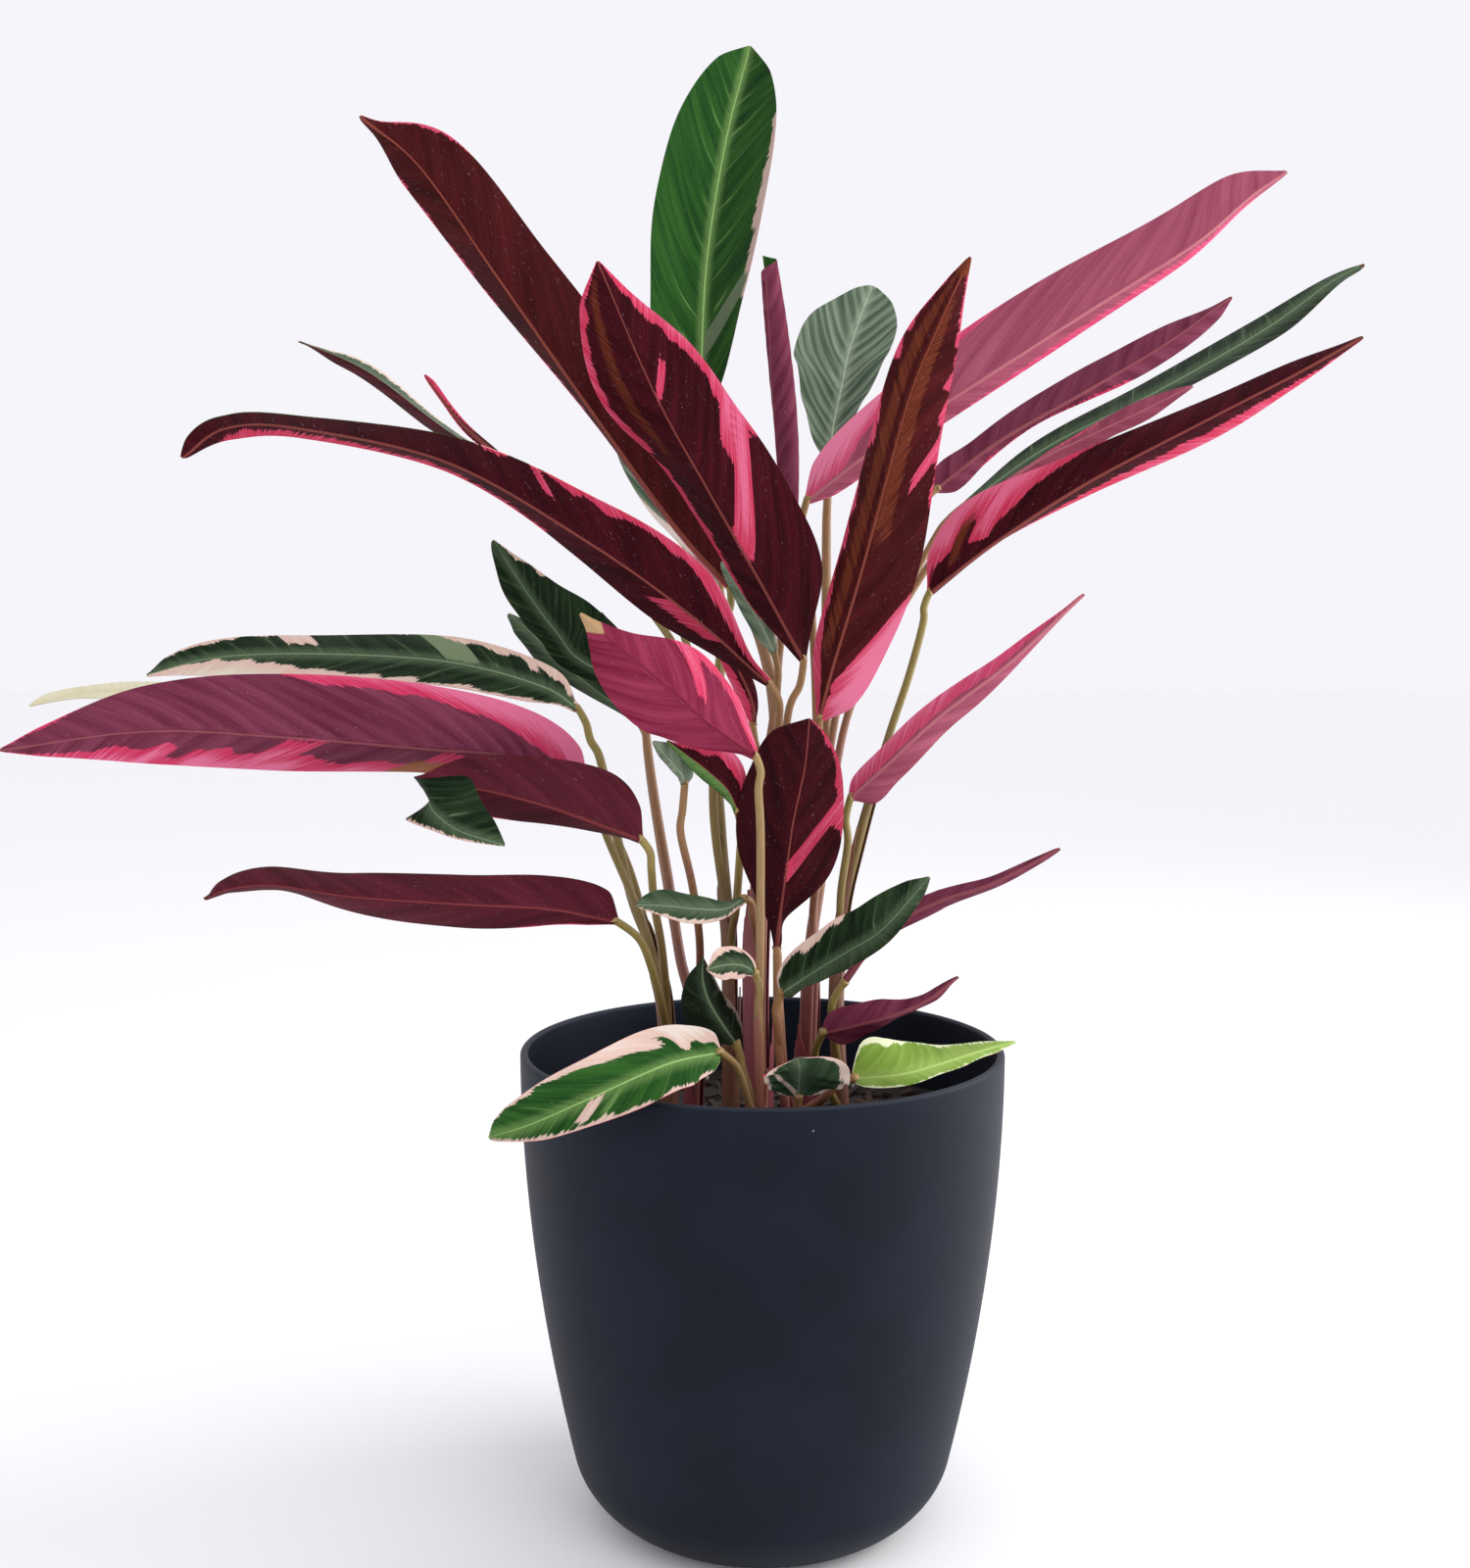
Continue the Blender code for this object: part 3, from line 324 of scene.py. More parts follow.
leaf("arching_left", "centre", "maroon", wave=0.6,
     rib=[(3, -50, 413), (-34, -70, 445), (-78, -92, 476), (-132, -118, 506), (-188, -140, 517),
          (-216, -147, 516), (-233, -149, 504)],
     left=((6, 12, 5, 2, 3, 1), (-18, -24, -10)), right=((4, 20, 15, 4, 2, 3), (6, 22, 10)),
     stalk=[(7, -42, 395), (5, -32, 366), (-1, -23, 334)], left_edge=(130, 130, 85, 60, 40, 130),
     right_edge=(50, 78, 90, 130, 130, 130), flames=[(0.15, 0, 0.4, 14), (0.36, -0.5, -1, 2)])
leaf("far_left", "centre_left", "green", front="upper", front_left="under", upper="sage",
     rib=[(-86, 60, 504), (-124, 86, 522), (-173, 114, 552), (-224, 142, 590), (-268, 162, 611)],
     left=((3, 6, 5, 5, 5, 1), (14, 20, 10)), right=((2, 5, 3, 3, 5, 2), (-14, -20, -10)),
     stalk=[(-70, 50, 490), (-50, 40, 462), (-34, 24, 420), (-23, 6, 372), (-19, -10, 326)],
     right_edge=(80, 80, 80, 75, 70, 50))
leaf("thin_left", "centre_left", "maroon", wave=0.3,
     rib=[(-109, 40, 502), (-134, 42, 528), (-155, 44, 547), (-173, 46, 571)],
     left=((2, 2, 2, 2, 1, 1), (-4, -5, -2)), right=((2, 2, 2, 2, 2, 2), (-4, -5, -2)),
     stalk=[(-84, 38, 476), (-62, 34, 456), (-40, 24, 424), (-25, 8, 378), (-18, -10, 320)],
     left_edge=(130, 130, 130, 70, 20, 0), right_edge=(130, 130, 130, 70, 20, 0))
leaf("behind_left", "centre_left", "green", wave=1.5, front="upper", upper="grey",
     rib=[(-21, 50, 462), (-33, 62, 493), (-45, 77, 526), (-55, 95, 557), (-63, 110, 588)],
     left=((4, 11, 22, 27, 25, 14), (4, 6, 4)), right=((5, 15, 23, 23, 18, 10), (4, 6, 4)),
     stalk=[(-21, 36, 412), (-22, 12, 363), (-19, -11, 315)], right_edge=(130, 90, 90, 90, 130, 130),
     flames=[(0.12, 0.1, 1, 5), (0.5, -0.2, -1, 5)])
leaf("dark_green_left", "left_middle", "green", front="upper", upper="dark",
     rib=[(-61, 35, 409), (-95, 56, 425), (-108, 65, 439), (-125, 81, 460), (-147, 101, 491)],
     left=((4, 7, 8, 9, 9, 4), (10, 18, 8)), right=((16, 26, 26, 20, 12, 4), (4, 5, 2)),
     stalk=[(-59, 30, 387), (-54, 22, 352), (-47, 13, 313), (-41, 5, 276), (-34, -1, 246)],
     right_edge=(130, 130, 130, 130, 93, 85))
leaf("dark_green_back", "left_middle", "green", front="upper", upper="dark",
     rib=[(-66, 70, 393), (-92, 92, 410), (-113, 112, 426), (-130, 127, 441), (-144, 139, 452)],
     left=((2, 4, 7, 7, 5, 2), (8, 14, 6)), right=((7, 13, 11, 10, 5, 2), (-6, -10, -4)),
     stalk=[(-60, 54, 376), (-56, 38, 352), (-49, 24, 313), (-42, 11, 278), (-34, 1, 250)])
leaf("cream_left", "left", "cream", wave=1.5, front="upper", under="rose", upper="dark",
     rib=[(-91, 5, 400), (-111, 11, 412), (-161, 27, 424), (-232, 45, 428), (-287, 55, 426),
          (-326, 63, 417)],
     left=((3, 9, 12, 11, 9, 3), (10, 18, 8)), right=((3, 10, 13, 10, 10, 7), (-8, -18, -8)),
     stalk=[(-85, 2, 385), (-80, -2, 376), (-74, -8, 350), (-64, -17, 310)],
     left_edge=(93, 92, 88, 70, 12, 0), right_edge=(50, 65, 85, 130, 80, 97),
     flames=[(0.6, -0.5, -1, 7), (0.2, -0.5, -1, 3)], plain=[(0.05, -0.4, -0.9, 4)],
     sage=[(0.36, -0.1, -1, 8)])
leaf("long_lower_left", "left", "rose", wave=1.2, under="purple",
     rib=[(-84, -26, 365), (-116, -42, 379), (-156, -61, 384), (-216, -77, 390), (-271, -90, 393),
          (-333, -96, 385)],
     left=((4, 12, 13, 17, 15, 6), (-14, -26, -12)), right=((15, 23, 29, 28, 20, 8), (-6, -8, -4)),
     stalk=[(-79, -27, 352), (-74, -24, 337), (-60, -19, 302)], left_edge=(130, 130, 75, 50, 45, 70),
     right_edge=(10, 50, 75, 93, 130, 80), flames=[(0.56, 0.05, 1, 7), (0.33, 0.1, 1, 7)],
     plain=[(0.46, 0.1, 0.7, 4), (0.7, 0.1, 0.8, 4)], dried=[(0.31, 0.5, 1, 16)])
leaf("curled_cream", "left", "cream", wave=1.5, front="upper", under="rose", upper="pale",
     rib=[(-109, 30, 379), (-181, 65, 390), (-257, 94, 399), (-339, 110, 407), (-376, 110, 407),
          (-408, 107, 400)],
     left=((4, 8, 8, 7, 3, 1), (8, 10, 3)), right=((5, 7, 8, 6, 4, 4), (-6, -8, 2)),
     stalk=[(-88, 20, 362), (-67, 0, 324), (-54, -20, 284)])
leaf("spoon", "front", "rose", under="rose",
     rib=[(-4, -80, 381), (-25, -86, 396), (-38, -91, 408), (-59, -97, 426), (-80, -100, 444)],
     left=((3, 11, 19, 22, 16, 4), (-4, -6, -4)), right=((7, 17, 20, 20, 8, 2), (-4, -6, -2)),
     stalk=[(-3, -79, 366), (-2, -76, 344)], right_edge=(50, 80, 85, 90, 130, 130),
     flames=[(0.3, -0.3, -1, 5)], dried=[(0.97, -1, 1, 9)])
leaf("curled_left", "left", "cream", wave=0.8, across=(0, 0, -1), under="wine", upper="dark",
     rib=[(-56, -62, 342), (-73, -66, 349), (-102, -74, 360), (-134, -84, 368), (-146, -98, 363),
          (-134, -107, 352), (-112, -110, 345)],
     left=((2, 5, 12, 12, 4, 2), (-14, -18, 2)), right=((14, 24, 18, 9, 24, 11), (-6, -6, -2)),
     stalk=[(-52, -58, 328), (-51, -50, 310), (-48, -40, 287), (-46, -24, 250)],
     left_edge=(130, 130, 90, 85, 85, 80))
leaf("low_left", "left", "maroon", under="wine",
     rib=[(-68, -58, 304), (-97, -78, 313), (-133, -97, 318), (-179, -108, 323), (-209, -117, 329),
          (-227, -122, 328), (-236, -125, 324)],
     left=((6, 12, 13, 6, 3, 1), (-12, -20, -8)), right=((14, 16, 14, 11, 6, 1), (8, 18, 8)),
     stalk=[(-61, -54, 296), (-53, -46, 281), (-48, -36, 258), (-46, -23, 236)],
     left_edge=(90, 93, 130, 130, 130, 130))
leaf("upper_right", "right", "rose", under="mauve",
     rib=[(21, -8, 501), (54, -14, 526), (93, -25, 550), (148, -39, 584), (193, -53, 611),
          (217, -58, 631), (232, -61, 641)],
     left=((13, 20, 25, 21, 15, 5), (-6, -8, -4)), right=((6, 7, 6, 4, 2, 1), (-12, -24, -10)),
     stalk=[(23, -6, 460), (26, -8, 402), (27, -6, 340), (25, -1, 290)],
     left_edge=(0, 55, 95, 130, 130, 130), right_edge=(90, 130, 75, 50, 40, 130))
leaf("wavy_purple", "right", "maroon", wave=2.2, under="purple",
     rib=[(86, 15, 509), (120, 24, 535), (165, 30, 561), (204, 34, 584), (238, 36, 608)],
     left=((9, 8, 11, 11, 8, 2), (-8, -12, -6)), right=((7, 5, 2, 6, 7, 5), (-8, -15, -6)),
     stalk=[(70, 12, 490), (52, 8, 452), (38, 4, 405), (30, 2, 350), (25, -1, 290)],
     right_edge=(130, 90, 70, 75, 130, 130))
leaf("narrow_green", "right", "green", front="upper", upper="dark",
     rib=[(107, 52, 506), (153, 71, 538), (215, 90, 570), (279, 110, 607), (317, 118, 634),
          (337, 121, 645)],
     left=((3, 6, 8, 8, 4, 2), (-10, -17, -6)), right=((1, 6, 6, 7, 3, 2), (10, 17, 6)),
     stalk=[(90, 46, 488), (70, 36, 452), (46, 22, 405), (34, 10, 350), (24, 2, 280)],
     dried=[(1, -1, 1, 7)])
leaf("right_maroon", "outer_right", "maroon", wave=1.2,
     rib=[(81, -6, 457), (110, -17, 480), (151, -31, 507), (201, -53, 533), (236, -64, 551),
          (263, -74, 566)],
     left=((15, 24, 15, 9, 6, 2), (-6, -18, -8)), right=((1, 1, 6, 9, 5, 2), (-14, -20, -8)),
     stalk=[(78, -7, 442), (71, -8, 416)], left_edge=(60, 15, 90, 130, 130, 130),
     right_edge=(130, 80, 60, 50, 55, 90), plain=[(0.08, 0, 0.6, 6)], dried=[(0.07, 0.25, 0.7, 4)])
leaf("pink_green_tip", "right", "cream", wave=0.8, under="mauve", upper="sage",
     rib=[(111, 30, 505), (142, 38, 526), (166, 44, 538), (191, 48, 550), (223, 50, 566)],
     left=((1, 1, 3, 5, 6, 3), (-8, -10, -4)), right=((2, 6, 7, 5, 5, 2), (6, 10, 4)),
     stalk=[(92, 28, 484), (68, 24, 446), (44, 14, 400), (33, 6, 345), (24, 1, 284)],
     left_edge=(70, 70, 70, 80, 130, 130))
leaf("right_upright", "right", "maroon", under="brown",
     rib=[(26, -42, 396), (32, -48, 421), (42, -61, 457), (51, -74, 493), (62, -90, 537), (73, -96, 565),
          (86, -100, 594)],
     left=((4, 11, 11, 11, 12, 5), (-10, -22, -8)), right=((13, 21, 25, 19, 12, 4), (-4, -8, -6)),
     stalk=[(27, -36, 371), (27, -24, 337), (25, -3, 298)], left_edge=(40, 75, 90, 92, 92, 95),
     right_edge=(0, 35, 120, 88, 90, 90), flames=[(0.46, -0.5, -1, 4)], dried=[(0.99, -1, 1, 8)],
     dried_bands=[(0.2, 0.97, 0.3, 0.62), (0.45, 0.9, -0.3, 0.05)])
leaf("lower_right", "outer_right", "rose", under="mauve",
     rib=[(42, -22, 358), (59, -33, 375), (81, -51, 398), (109, -69, 422), (140, -83, 453)],
     left=((6, 7, 7, 6, 4, 1), (-8, -14, -6)), right=((10, 10, 9, 7, 3, 1), (-6, -12, -6)),
     stalk=[(41, -20, 336), (38, -16, 310), (38, -12, 282)], left_edge=(10, 15, 20, 25, 30, 50))
leaf("low_centre", "front_right", "maroon", wave=1.2,
     rib=[(6, -50, 289), (7, -54, 303), (10, -60, 327), (13, -66, 351), (18, -70, 376), (20, -70, 398)],
     left=((2, 6, 21, 26, 23, 16), (-4, -8, -4)), right=((2, 3, 21, 23, 17, 8), (-4, -8, -4)),
     stalk=[(7, -49, 268), (10, -50, 220)], right_edge=(130, 130, 130, 86, 82, 80),
     flames=[(0.4, 0, -1, 5)], dim_left=0.25, dim_right=0.25)
leaf("torn_green", "front_right", "green", wave=0.8, front="upper", under="purple", upper="dark",
     rib=[(8, -65, 272), (22, -77, 284), (37, -90, 296), (51, -103, 308), (69, -116, 332)],
     left=((8, 13, 15, 16, 14, 7), (2, 3, 2)), right=((3, 2, 3, 4, 4, 3), (8, 13, 6)),
     stalk=[(6, -60, 256), (10, -50, 226)], left_edge=(85, 80, 86, 95, 130, 130))
leaf("narrow_maroon", "outer_right", "maroon", wave=0.6, under="purple",
     rib=[(39, -30, 270), (58, -42, 297), (80, -54, 312), (105, -66, 323), (132, -78, 340)],
     left=((2, 4, 4, 3, 2, 1), (-6, -9, -4)), right=((1, 4, 6, 4, 3, 2), (-6, -9, -4)),
     stalk=[(33, -28, 256), (35, -20, 240), (38, -13, 220)])
leaf("low_maroon", "outer_right", "maroon", wave=0.6, under="purple",
     rib=[(28, -42, 248), (46, -57, 256), (60, -66, 262), (74, -72, 270), (87, -78, 282)],
     left=((8, 9, 7, 3, 2, 1), (-4, -8, -3)), right=((8, 7, 4, 3, 3, 1), (-4, -8, -3)),
     stalk=[(26, -36, 238), (33, -20, 214), (39, -13, 200)])
leaf("rim_right", "front_right", "cream", wave=0.5, front="upper", under="purple", upper="lime",
     rib=[(39, -84, 237), (62, -80, 238), (84, -62, 239), (105, -42, 240), (122, -26, 240)],
     left=((15, 15, 10, 4, 2, 1), (-10, -14, -4)), right=((4, 5, 4, 3, 2, 1), (2, 3, 2)),
     stalk=[(26, -78, 226), (12, -52, 206)], left_edge=(85, 85, 88, 90, 90, 90),
     right_edge=(90, 90, 90, 90, 90, 90))
leaf("marbled_curly", "front_right", "cream", front="upper", under="rose", upper="sage",
     rib=[(15, -84, 229), (15, -88, 235), (15, -92, 240), (15, -96, 245), (14, -98, 250)],
     left=((8, 13, 14, 16, 15, 9), (1, 3, 3)), right=((6, 15, 20, 22, 20, 10), (1, 4, 4)),
     stalk=[(14, -76, 216), (11, -51, 204)], left_edge=(88, 86, 86, 86, 86, 80),
     right_edge=(88, 86, 86, 86, 86, 80), flames=[(0, 0.1, 1, 2)])
leaf("over_rim", "front", "cream", front="upper",
     rib=[(-20, -80, 248), (-35, -96, 249), (-48, -106, 247), (-77, -116, 236), (-102, -112, 224),
          (-121, -104, 216)],
     left=((7, 9, 10, 9, 5, 2), (6, 13, 6)), right=((10, 15, 18, 17, 13, 7), (1, 3, 1)),
     stalk=[(-15, -74, 238), (-7, -64, 220), (-1, -60, 206)], left_edge=(93, 93, 93, 90, 88, 80),
     right_edge=(55, 35, 50, 85, 94, 94), flames=[(0.56, 0.08, 0.8, 3)], plain=[(0.2, -0.2, -0.75, 2.5)])
leaf("small_variegated", "front", "cream", wave=0.3, front="upper", under="rose", upper="dark",
     rib=[(-4, -68, 281), (-8, -70, 285), (-14, -74, 287), (-20, -78, 287), (-26, -82, 286)],
     left=((2, 4, 6, 6, 6, 3), (2, 3, 2)), right=((2, 4, 7, 8, 7, 2), (-1, -2, -1)),
     stalk=[(-3, -64, 264), (-2, -62, 245)], left_edge=(75, 70, 65, 70, 60, 50),
     right_edge=(75, 70, 75, 70, 60, 50))
leaf("small_grey", "centre", "green", wave=0.3, front="upper", upper="sage",
     rib=[(-9, -52, 314), (-18, -60, 310), (-31, -66, 311), (-45, -70, 313), (-58, -74, 314)],
     left=((2, 2, 5, 6, 4, 2), (3, 5, 3)), right=((2, 3, 5, 6, 7, 4), (-2, -4, -2)),
     stalk=[(-5, -44, 304), (-2, -27, 276)], left_edge=(85, 80, 85, 85, 85, 80))
leaf("dark_in_pot", "front", "green", wave=0.5, front="upper", under="purple", upper="dark",
     rib=[(-13, -62, 248), (-19, -68, 258), (-25, -72, 269), (-28, -75, 280), (-28, -76, 290)],
     left=((4, 8, 13, 12, 7, 2), (2, 4, 2)), right=((5, 8, 9, 7, 5, 2), (1, 2, 1)),
     stalk=[(-9, -60, 232), (-2, -60, 212)], right_edge=(90, 85, 85, 90, 90, 90), dim_left=0.6,
     dim_right=0.75)
leaf("small_grey_up", "left_middle", "green", wave=0.3, front="upper", upper="grey",
     rib=[(-37, -46, 366), (-38, -48, 371), (-42, -51, 376), (-47, -54, 382), (-51, -58, 387)],
     left=((1, 2, 2, 2, 2, 1), (3, 5, 3)), right=((2, 5, 6, 5, 5, 2), (0, 0, 0)),
     stalk=[(-40, -46, 356), (-39, -42, 343), (-34, -32, 318), (-31, -16, 291), (-31, -3, 268)])
leaf("folded_maroon", "centre_left", "maroon", wave=0.5, front_left="upper",
     rib=[(-12, -56, 354), (-17, -60, 365), (-26, -66, 374), (-36, -70, 382), (-44, -72, 388)],
     left=((1, 3, 4, 4, 2, 1), (2, 3, 2)), right=((3, 9, 14, 11, 4, 1), (0, -1, 0)),
     stalk=[(-11, -46, 336), (-13, -28, 306), (-16, -13, 278)], right_edge=(80, 70, 50, 50, 60, 80))
leaf("olive_centre", "centre", "green", wave=0.3, front="upper", upper="grey",
     rib=[(6, -8, 427), (0, -9, 440), (-7, -10, 451), (-14, -10, 462), (-20, -10, 472)],
     left=((2, 5, 5, 4, 3, 2), (1, 2, 1)), right=((3, 5, 4, 3, 3, 1), (1, 2, 1)),
     stalk=[(7, -9, 410), (6, -9, 392)], right_edge=(80, 70, 80, 80, 80, 80))
leaf("pink_behind", "centre", "rose", wave=0.5,
     rib=[(-5, -28, 393), (-5, -26, 403), (-10, -24, 416), (-17, -22, 428), (-26, -20, 440)],
     left=((2, 5, 6, 6, 4, 1), (-2, -3, -2)), right=((1, 2, 4, 4, 2, 1), (-1, -2, -1)),
     stalk=[(-3, -28, 380), (0, -22, 352)], left_edge=(0, 20, 30, 30, 50, 80))


# Shader nodes


def linear(colour):
    """Eight-bit screen values as the linear values that shaders take."""
    shares = [value / 255 for value in colour]
    return tuple(share / 12.92 if share < 0.04045 else ((share + 0.055) / 1.055) ** 2.4
                 for share in shares)


class Shader:
    """A material and its nodes. Most calls here add a node and give its result."""

    def __init__(self, name):
        self.material = bpy.data.materials.new(name)
        self.material.use_nodes = True
        self.tree = self.material.node_tree
        self.surface = self.tree.nodes["Principled BSDF"]

    def put(self, socket, value):
        """A link where value is a result, and otherwise a number or an eight-bit colour."""
        if isinstance(value, bpy.types.NodeSocket):
            self.tree.links.new(value, socket)
        elif isinstance(value, tuple):
            socket.default_value = (*linear(value), 1.0)
        else:
            socket.default_value = value

    def node(self, kind, values, **settings):
        """A node with its settings, and its sockets filled by name or number."""
        made = self.tree.nodes.new("ShaderNode" + kind)
        for name, setting in settings.items():
            setattr(made, name, setting)
        for key, value in values.items():
            self.put(made.inputs[key], value)
        return made

    def parts(self, value):
        return self.node("SeparateXYZ", {0: value}).outputs

    def attribute(self, name):
        """The parts (x, y, z) of a vector that the mesh carries."""
        return self.parts(self.node("Attribute", {}, attribute_name=name).outputs["Vector"])

    def place(self):
        return self.node("TexCoord", {}).outputs["Object"]

    def vector(self, x, y, z):
        return self.node("CombineXYZ", {0: x, 1: y, 2: z}).outputs[0]

    def maths(self, operation, *values):
        return self.node("Math", dict(enumerate(values)), operation=operation).outputs[0]

    def add(self, first, second):
        return self.maths("ADD", first, second)

    def times(self, first, second, more=0.0):
        """The product of the first two and more added to it."""
        return self.maths("MULTIPLY_ADD", first, second, more)

    def cosine(self, angle):
        return self.maths("COSINE", angle)

    def noise(self, place, scale=1.0, detail=2.0, roughness=0.5):
        values = {"Vector": place, "Scale": scale, "Detail": detail, "Roughness": roughness}
        return self.node("TexNoise", values).outputs["Fac"]

    def ramp(self, value, low, high):
        """0 below low, 1 above high and smooth between."""
        values = {"Value": value, "From Min": low, "From Max": high}
        return self.node("MapRange", values, interpolation_type="SMOOTHSTEP").outputs["Result"]

    def fade(self, value, low, high):
        """1 below low, 0 above high and smooth between."""
        return self.maths("SUBTRACT", 1.0, self.ramp(value, low, high))

    def blend(self, share, first, second):
        values = {"Factor": share, "A": first, "B": second}
        return self.node("Mix", values, data_type="RGBA").outputs["Result"]

    def finish(self, colour, roughness, relief, strength, distance, shine=0.5):
        """The finished material, with relief as height times distance, in metres."""
        values = {"Strength": strength, "Distance": distance, "Height": relief}
        normal = self.node("Bump", values).outputs["Normal"]
        for name, value in (("Base Color", colour), ("Roughness", roughness), ("Normal", normal),
                            ("Specular IOR Level", shine)):
            self.put(self.surface.inputs[name], value)
        return self.material


def blade_material(name, under, upper, seed):
    """A leaf's two sides: streaked colour along the veins, flames of the variegated colour and a rib."""
    make = Shader(name)
    along, out, half = make.attribute("vein")
    flame, dried, sage = make.attribute("paint")
    share, shade, underside = make.attribute("place")
    along = make.add(along, seed * 71.0)
    place = make.vector(along, out, half)
    fine, broad = (make.noise(make.vector(make.times(along, length), make.times(out, width), half))
                   for length, width in (FINE_STREAKS, BROAD_STREAKS))
    mottle = make.noise(place, scale=MOTTLE, detail=5.0)
    folds = make.add(along, make.times(broad, FOLD_WANDER))
    streaks = make.times(fine, 0.35, make.times(broad, 0.65))

    def ragged(depth, size):
        """A depth whose edge is frayed along the veins by size in mm."""
        return make.add(depth, make.times(fine, size, -size / 2))

    def plain(colours):
        """The plain colour, streaked, with painted shade of the pleats: paler on every pleat, darker
        between.
        """
        pleat = make.cosine(make.times(folds, TURN / colours["pitch"]))
        tone = make.times(pleat, 0.5 * colours["pleat_shade"], streaks)
        return make.blend(make.ramp(tone, *PLAIN_TONES), colours["deep"], colours["light"])

    edge = ragged(flame, 3.0)
    variegated = make.ramp(edge, -0.3, 0.3)
    pale_share = make.ramp(make.times(make.ramp(edge, 0.5, 9.0), 0.5, fine), 0.4, 1.0)
    rib_width = make.times(share, -0.3, 0.52)
    rib = make.fade(make.maths("DIVIDE", out, rib_width), 0.7, 1.3)

    under_flame = make.blend(pale_share, under["strong"], under["pale"])
    under_colour = make.blend(variegated, plain(under), under_flame)
    under_colour = make.blend(make.times(rib, 0.8), under_colour, under["rib"])

    glow = make.times(make.fade(out, 0.4, 5.0), make.times(fine, 0.7))
    line = make.ramp(make.cosine(make.times(folds, math.pi / upper["pitch"])), 0.982, 0.998)
    some = make.times(make.ramp(broad, 0.36, 0.6), 0.5)
    line = make.times(make.times(line, make.fade(out, 3.0, 22.0)), some)
    upper_plain = make.blend(make.maths("MAXIMUM", glow, line), plain(upper), upper["rib"])
    upper_plain = make.blend(make.ramp(ragged(sage, 2.0), -0.4, 0.4), upper_plain, SAGE)
    upper_flame = make.blend(pale_share, upper["strong"], upper["pale"])
    upper_colour = make.blend(variegated, upper_plain, upper_flame)
    upper_colour = make.blend(rib, upper_colour, upper["rib"])

    colour = make.blend(underside, upper_colour, under_colour)
    brown = make.ramp(ragged(dried, 4.0), -0.9, 0.9)
    colour = make.blend(make.times(brown, 0.85), colour, under["dry"])
    # Painted shade over the halves that dim_left and dim_right darken
    colour = make.blend(shade, colour, SHADE)
    # Whitish specks where the mottle is high: partly dust, partly a painted sheen
    speck = make.noise(place, scale=SPECKS, detail=3.0, roughness=0.6)
    dust_and_sheen = make.times(make.ramp(speck, 0.63, 0.71), make.ramp(mottle, 0.48, 0.6))
    colour = make.blend(make.times(dust_and_sheen, DUST_AND_SHEEN_SHARE), colour, DUST_AND_SHEEN)
    roughness = make.times(mottle, 0.25, make.times(underside, 0.2, 0.36))
    relief = make.add(make.times(fine, 0.6), make.times(mottle, 0.5))
    return make.finish(colour, roughness, relief, 0.3, 0.5 * MM, shine=BLADE_SHINE)


def stalk_material(name, low, high, sheathed):
    """Smooth stalks, browner low down, paler at the knees, with fine lines along the sheaths."""
    make = Shader(name)
    share, knee, sheath = make.attribute("stem")
    place = make.place()
    stretched = make.node("Mapping", {"Vector": place})
    stretched.inputs["Scale"].default_value = (900, 900, 60)
    lines = make.noise(stretched.outputs[0], detail=3.0)
    broad = make.noise(place, scale=45.0)
    height = make.times(share, 0.8, make.times(broad, 0.4))
    colour = make.blend(make.ramp(height, 0.2, 0.9), low, high)
    colour = make.blend(make.times(knee, 0.55), colour, KNEE_COLOUR)
    colour = make.blend(make.times(sheath, 0.85), colour, sheathed)
    dark = make.times(lines, 0.5, 0.62)
    colour = make.node("VectorMath", {0: colour, "Scale": dark}, operation="SCALE").outputs[0]
    return make.finish(colour, make.times(broad, 0.2, 0.38), lines, 0.3, 0.3 * MM)


def pot_material():
    """Matt moulded plastic, fine grained, with a painted highlight along the lip and two small marks."""
    make = Shader("planter_plastic")
    place = make.place()
    grain = make.noise(place, scale=2600.0)
    cloud = make.noise(place, scale=18.0, detail=4.0)
    colour = make.blend(make.ramp(cloud, 0.3, 0.7), POT_DEEP, POT_LIGHT)
    # Painted highlight along the top of the lip
    lip_highlight = make.ramp(make.parts(place)[2], POT_HEIGHT - 1.6 * MM, POT_HEIGHT - 0.4 * MM)
    colour = make.blend(make.times(lip_highlight, 0.35), colour, POT_LIP_HIGHLIGHT)
    for centre, size, tint in POT_MARKS:
        away = make.node("VectorMath", {0: place}, operation="DISTANCE")
        away.inputs[1].default_value = [value * MM for value in centre]
        rough = make.times(grain, 1.5 * MM, away.outputs["Value"])
        mark = make.fade(rough, size * 0.6 * MM, size * 1.4 * MM)
        colour = make.blend(mark, colour, tint)
    make.surface.inputs["Specular Tint"].default_value = POT_SHINE_TINT
    return make.finish(colour, make.times(cloud, 0.14, 0.5), grain, 0.25, 0.12 * MM, shine=0.18)


def soil_material():
    """Dark crumbs, with bark of several browns and white grains."""
    make = Shader("potting_mix")
    chip, white, tint = make.attribute("crumb")
    crumbs = make.noise(make.place(), scale=420.0, detail=6.0, roughness=0.7)
    colour = make.blend(crumbs, *SOIL_COLOURS)
    colour = make.blend(make.times(chip, 0.8), colour, make.blend(tint, *BARK_COLOURS))
    colour = make.blend(white, colour, GRAIN_COLOUR)
    return make.finish(colour, make.times(crumbs, 0.2, 0.75), crumbs, 0.8, 1.5 * MM)


# Curves, as in the built part


def hermite(local, start, end, slope_in, slope_out):
    """A smooth step from start to end, with the slope of each end given over the whole step."""
    square = local * local
    cube = square * local
    return (start * (2 * cube - 3 * square + 1) + slope_in * (cube - 2 * square + local)
            + end * (3 * square - 2 * cube) + slope_out * (cube - square))


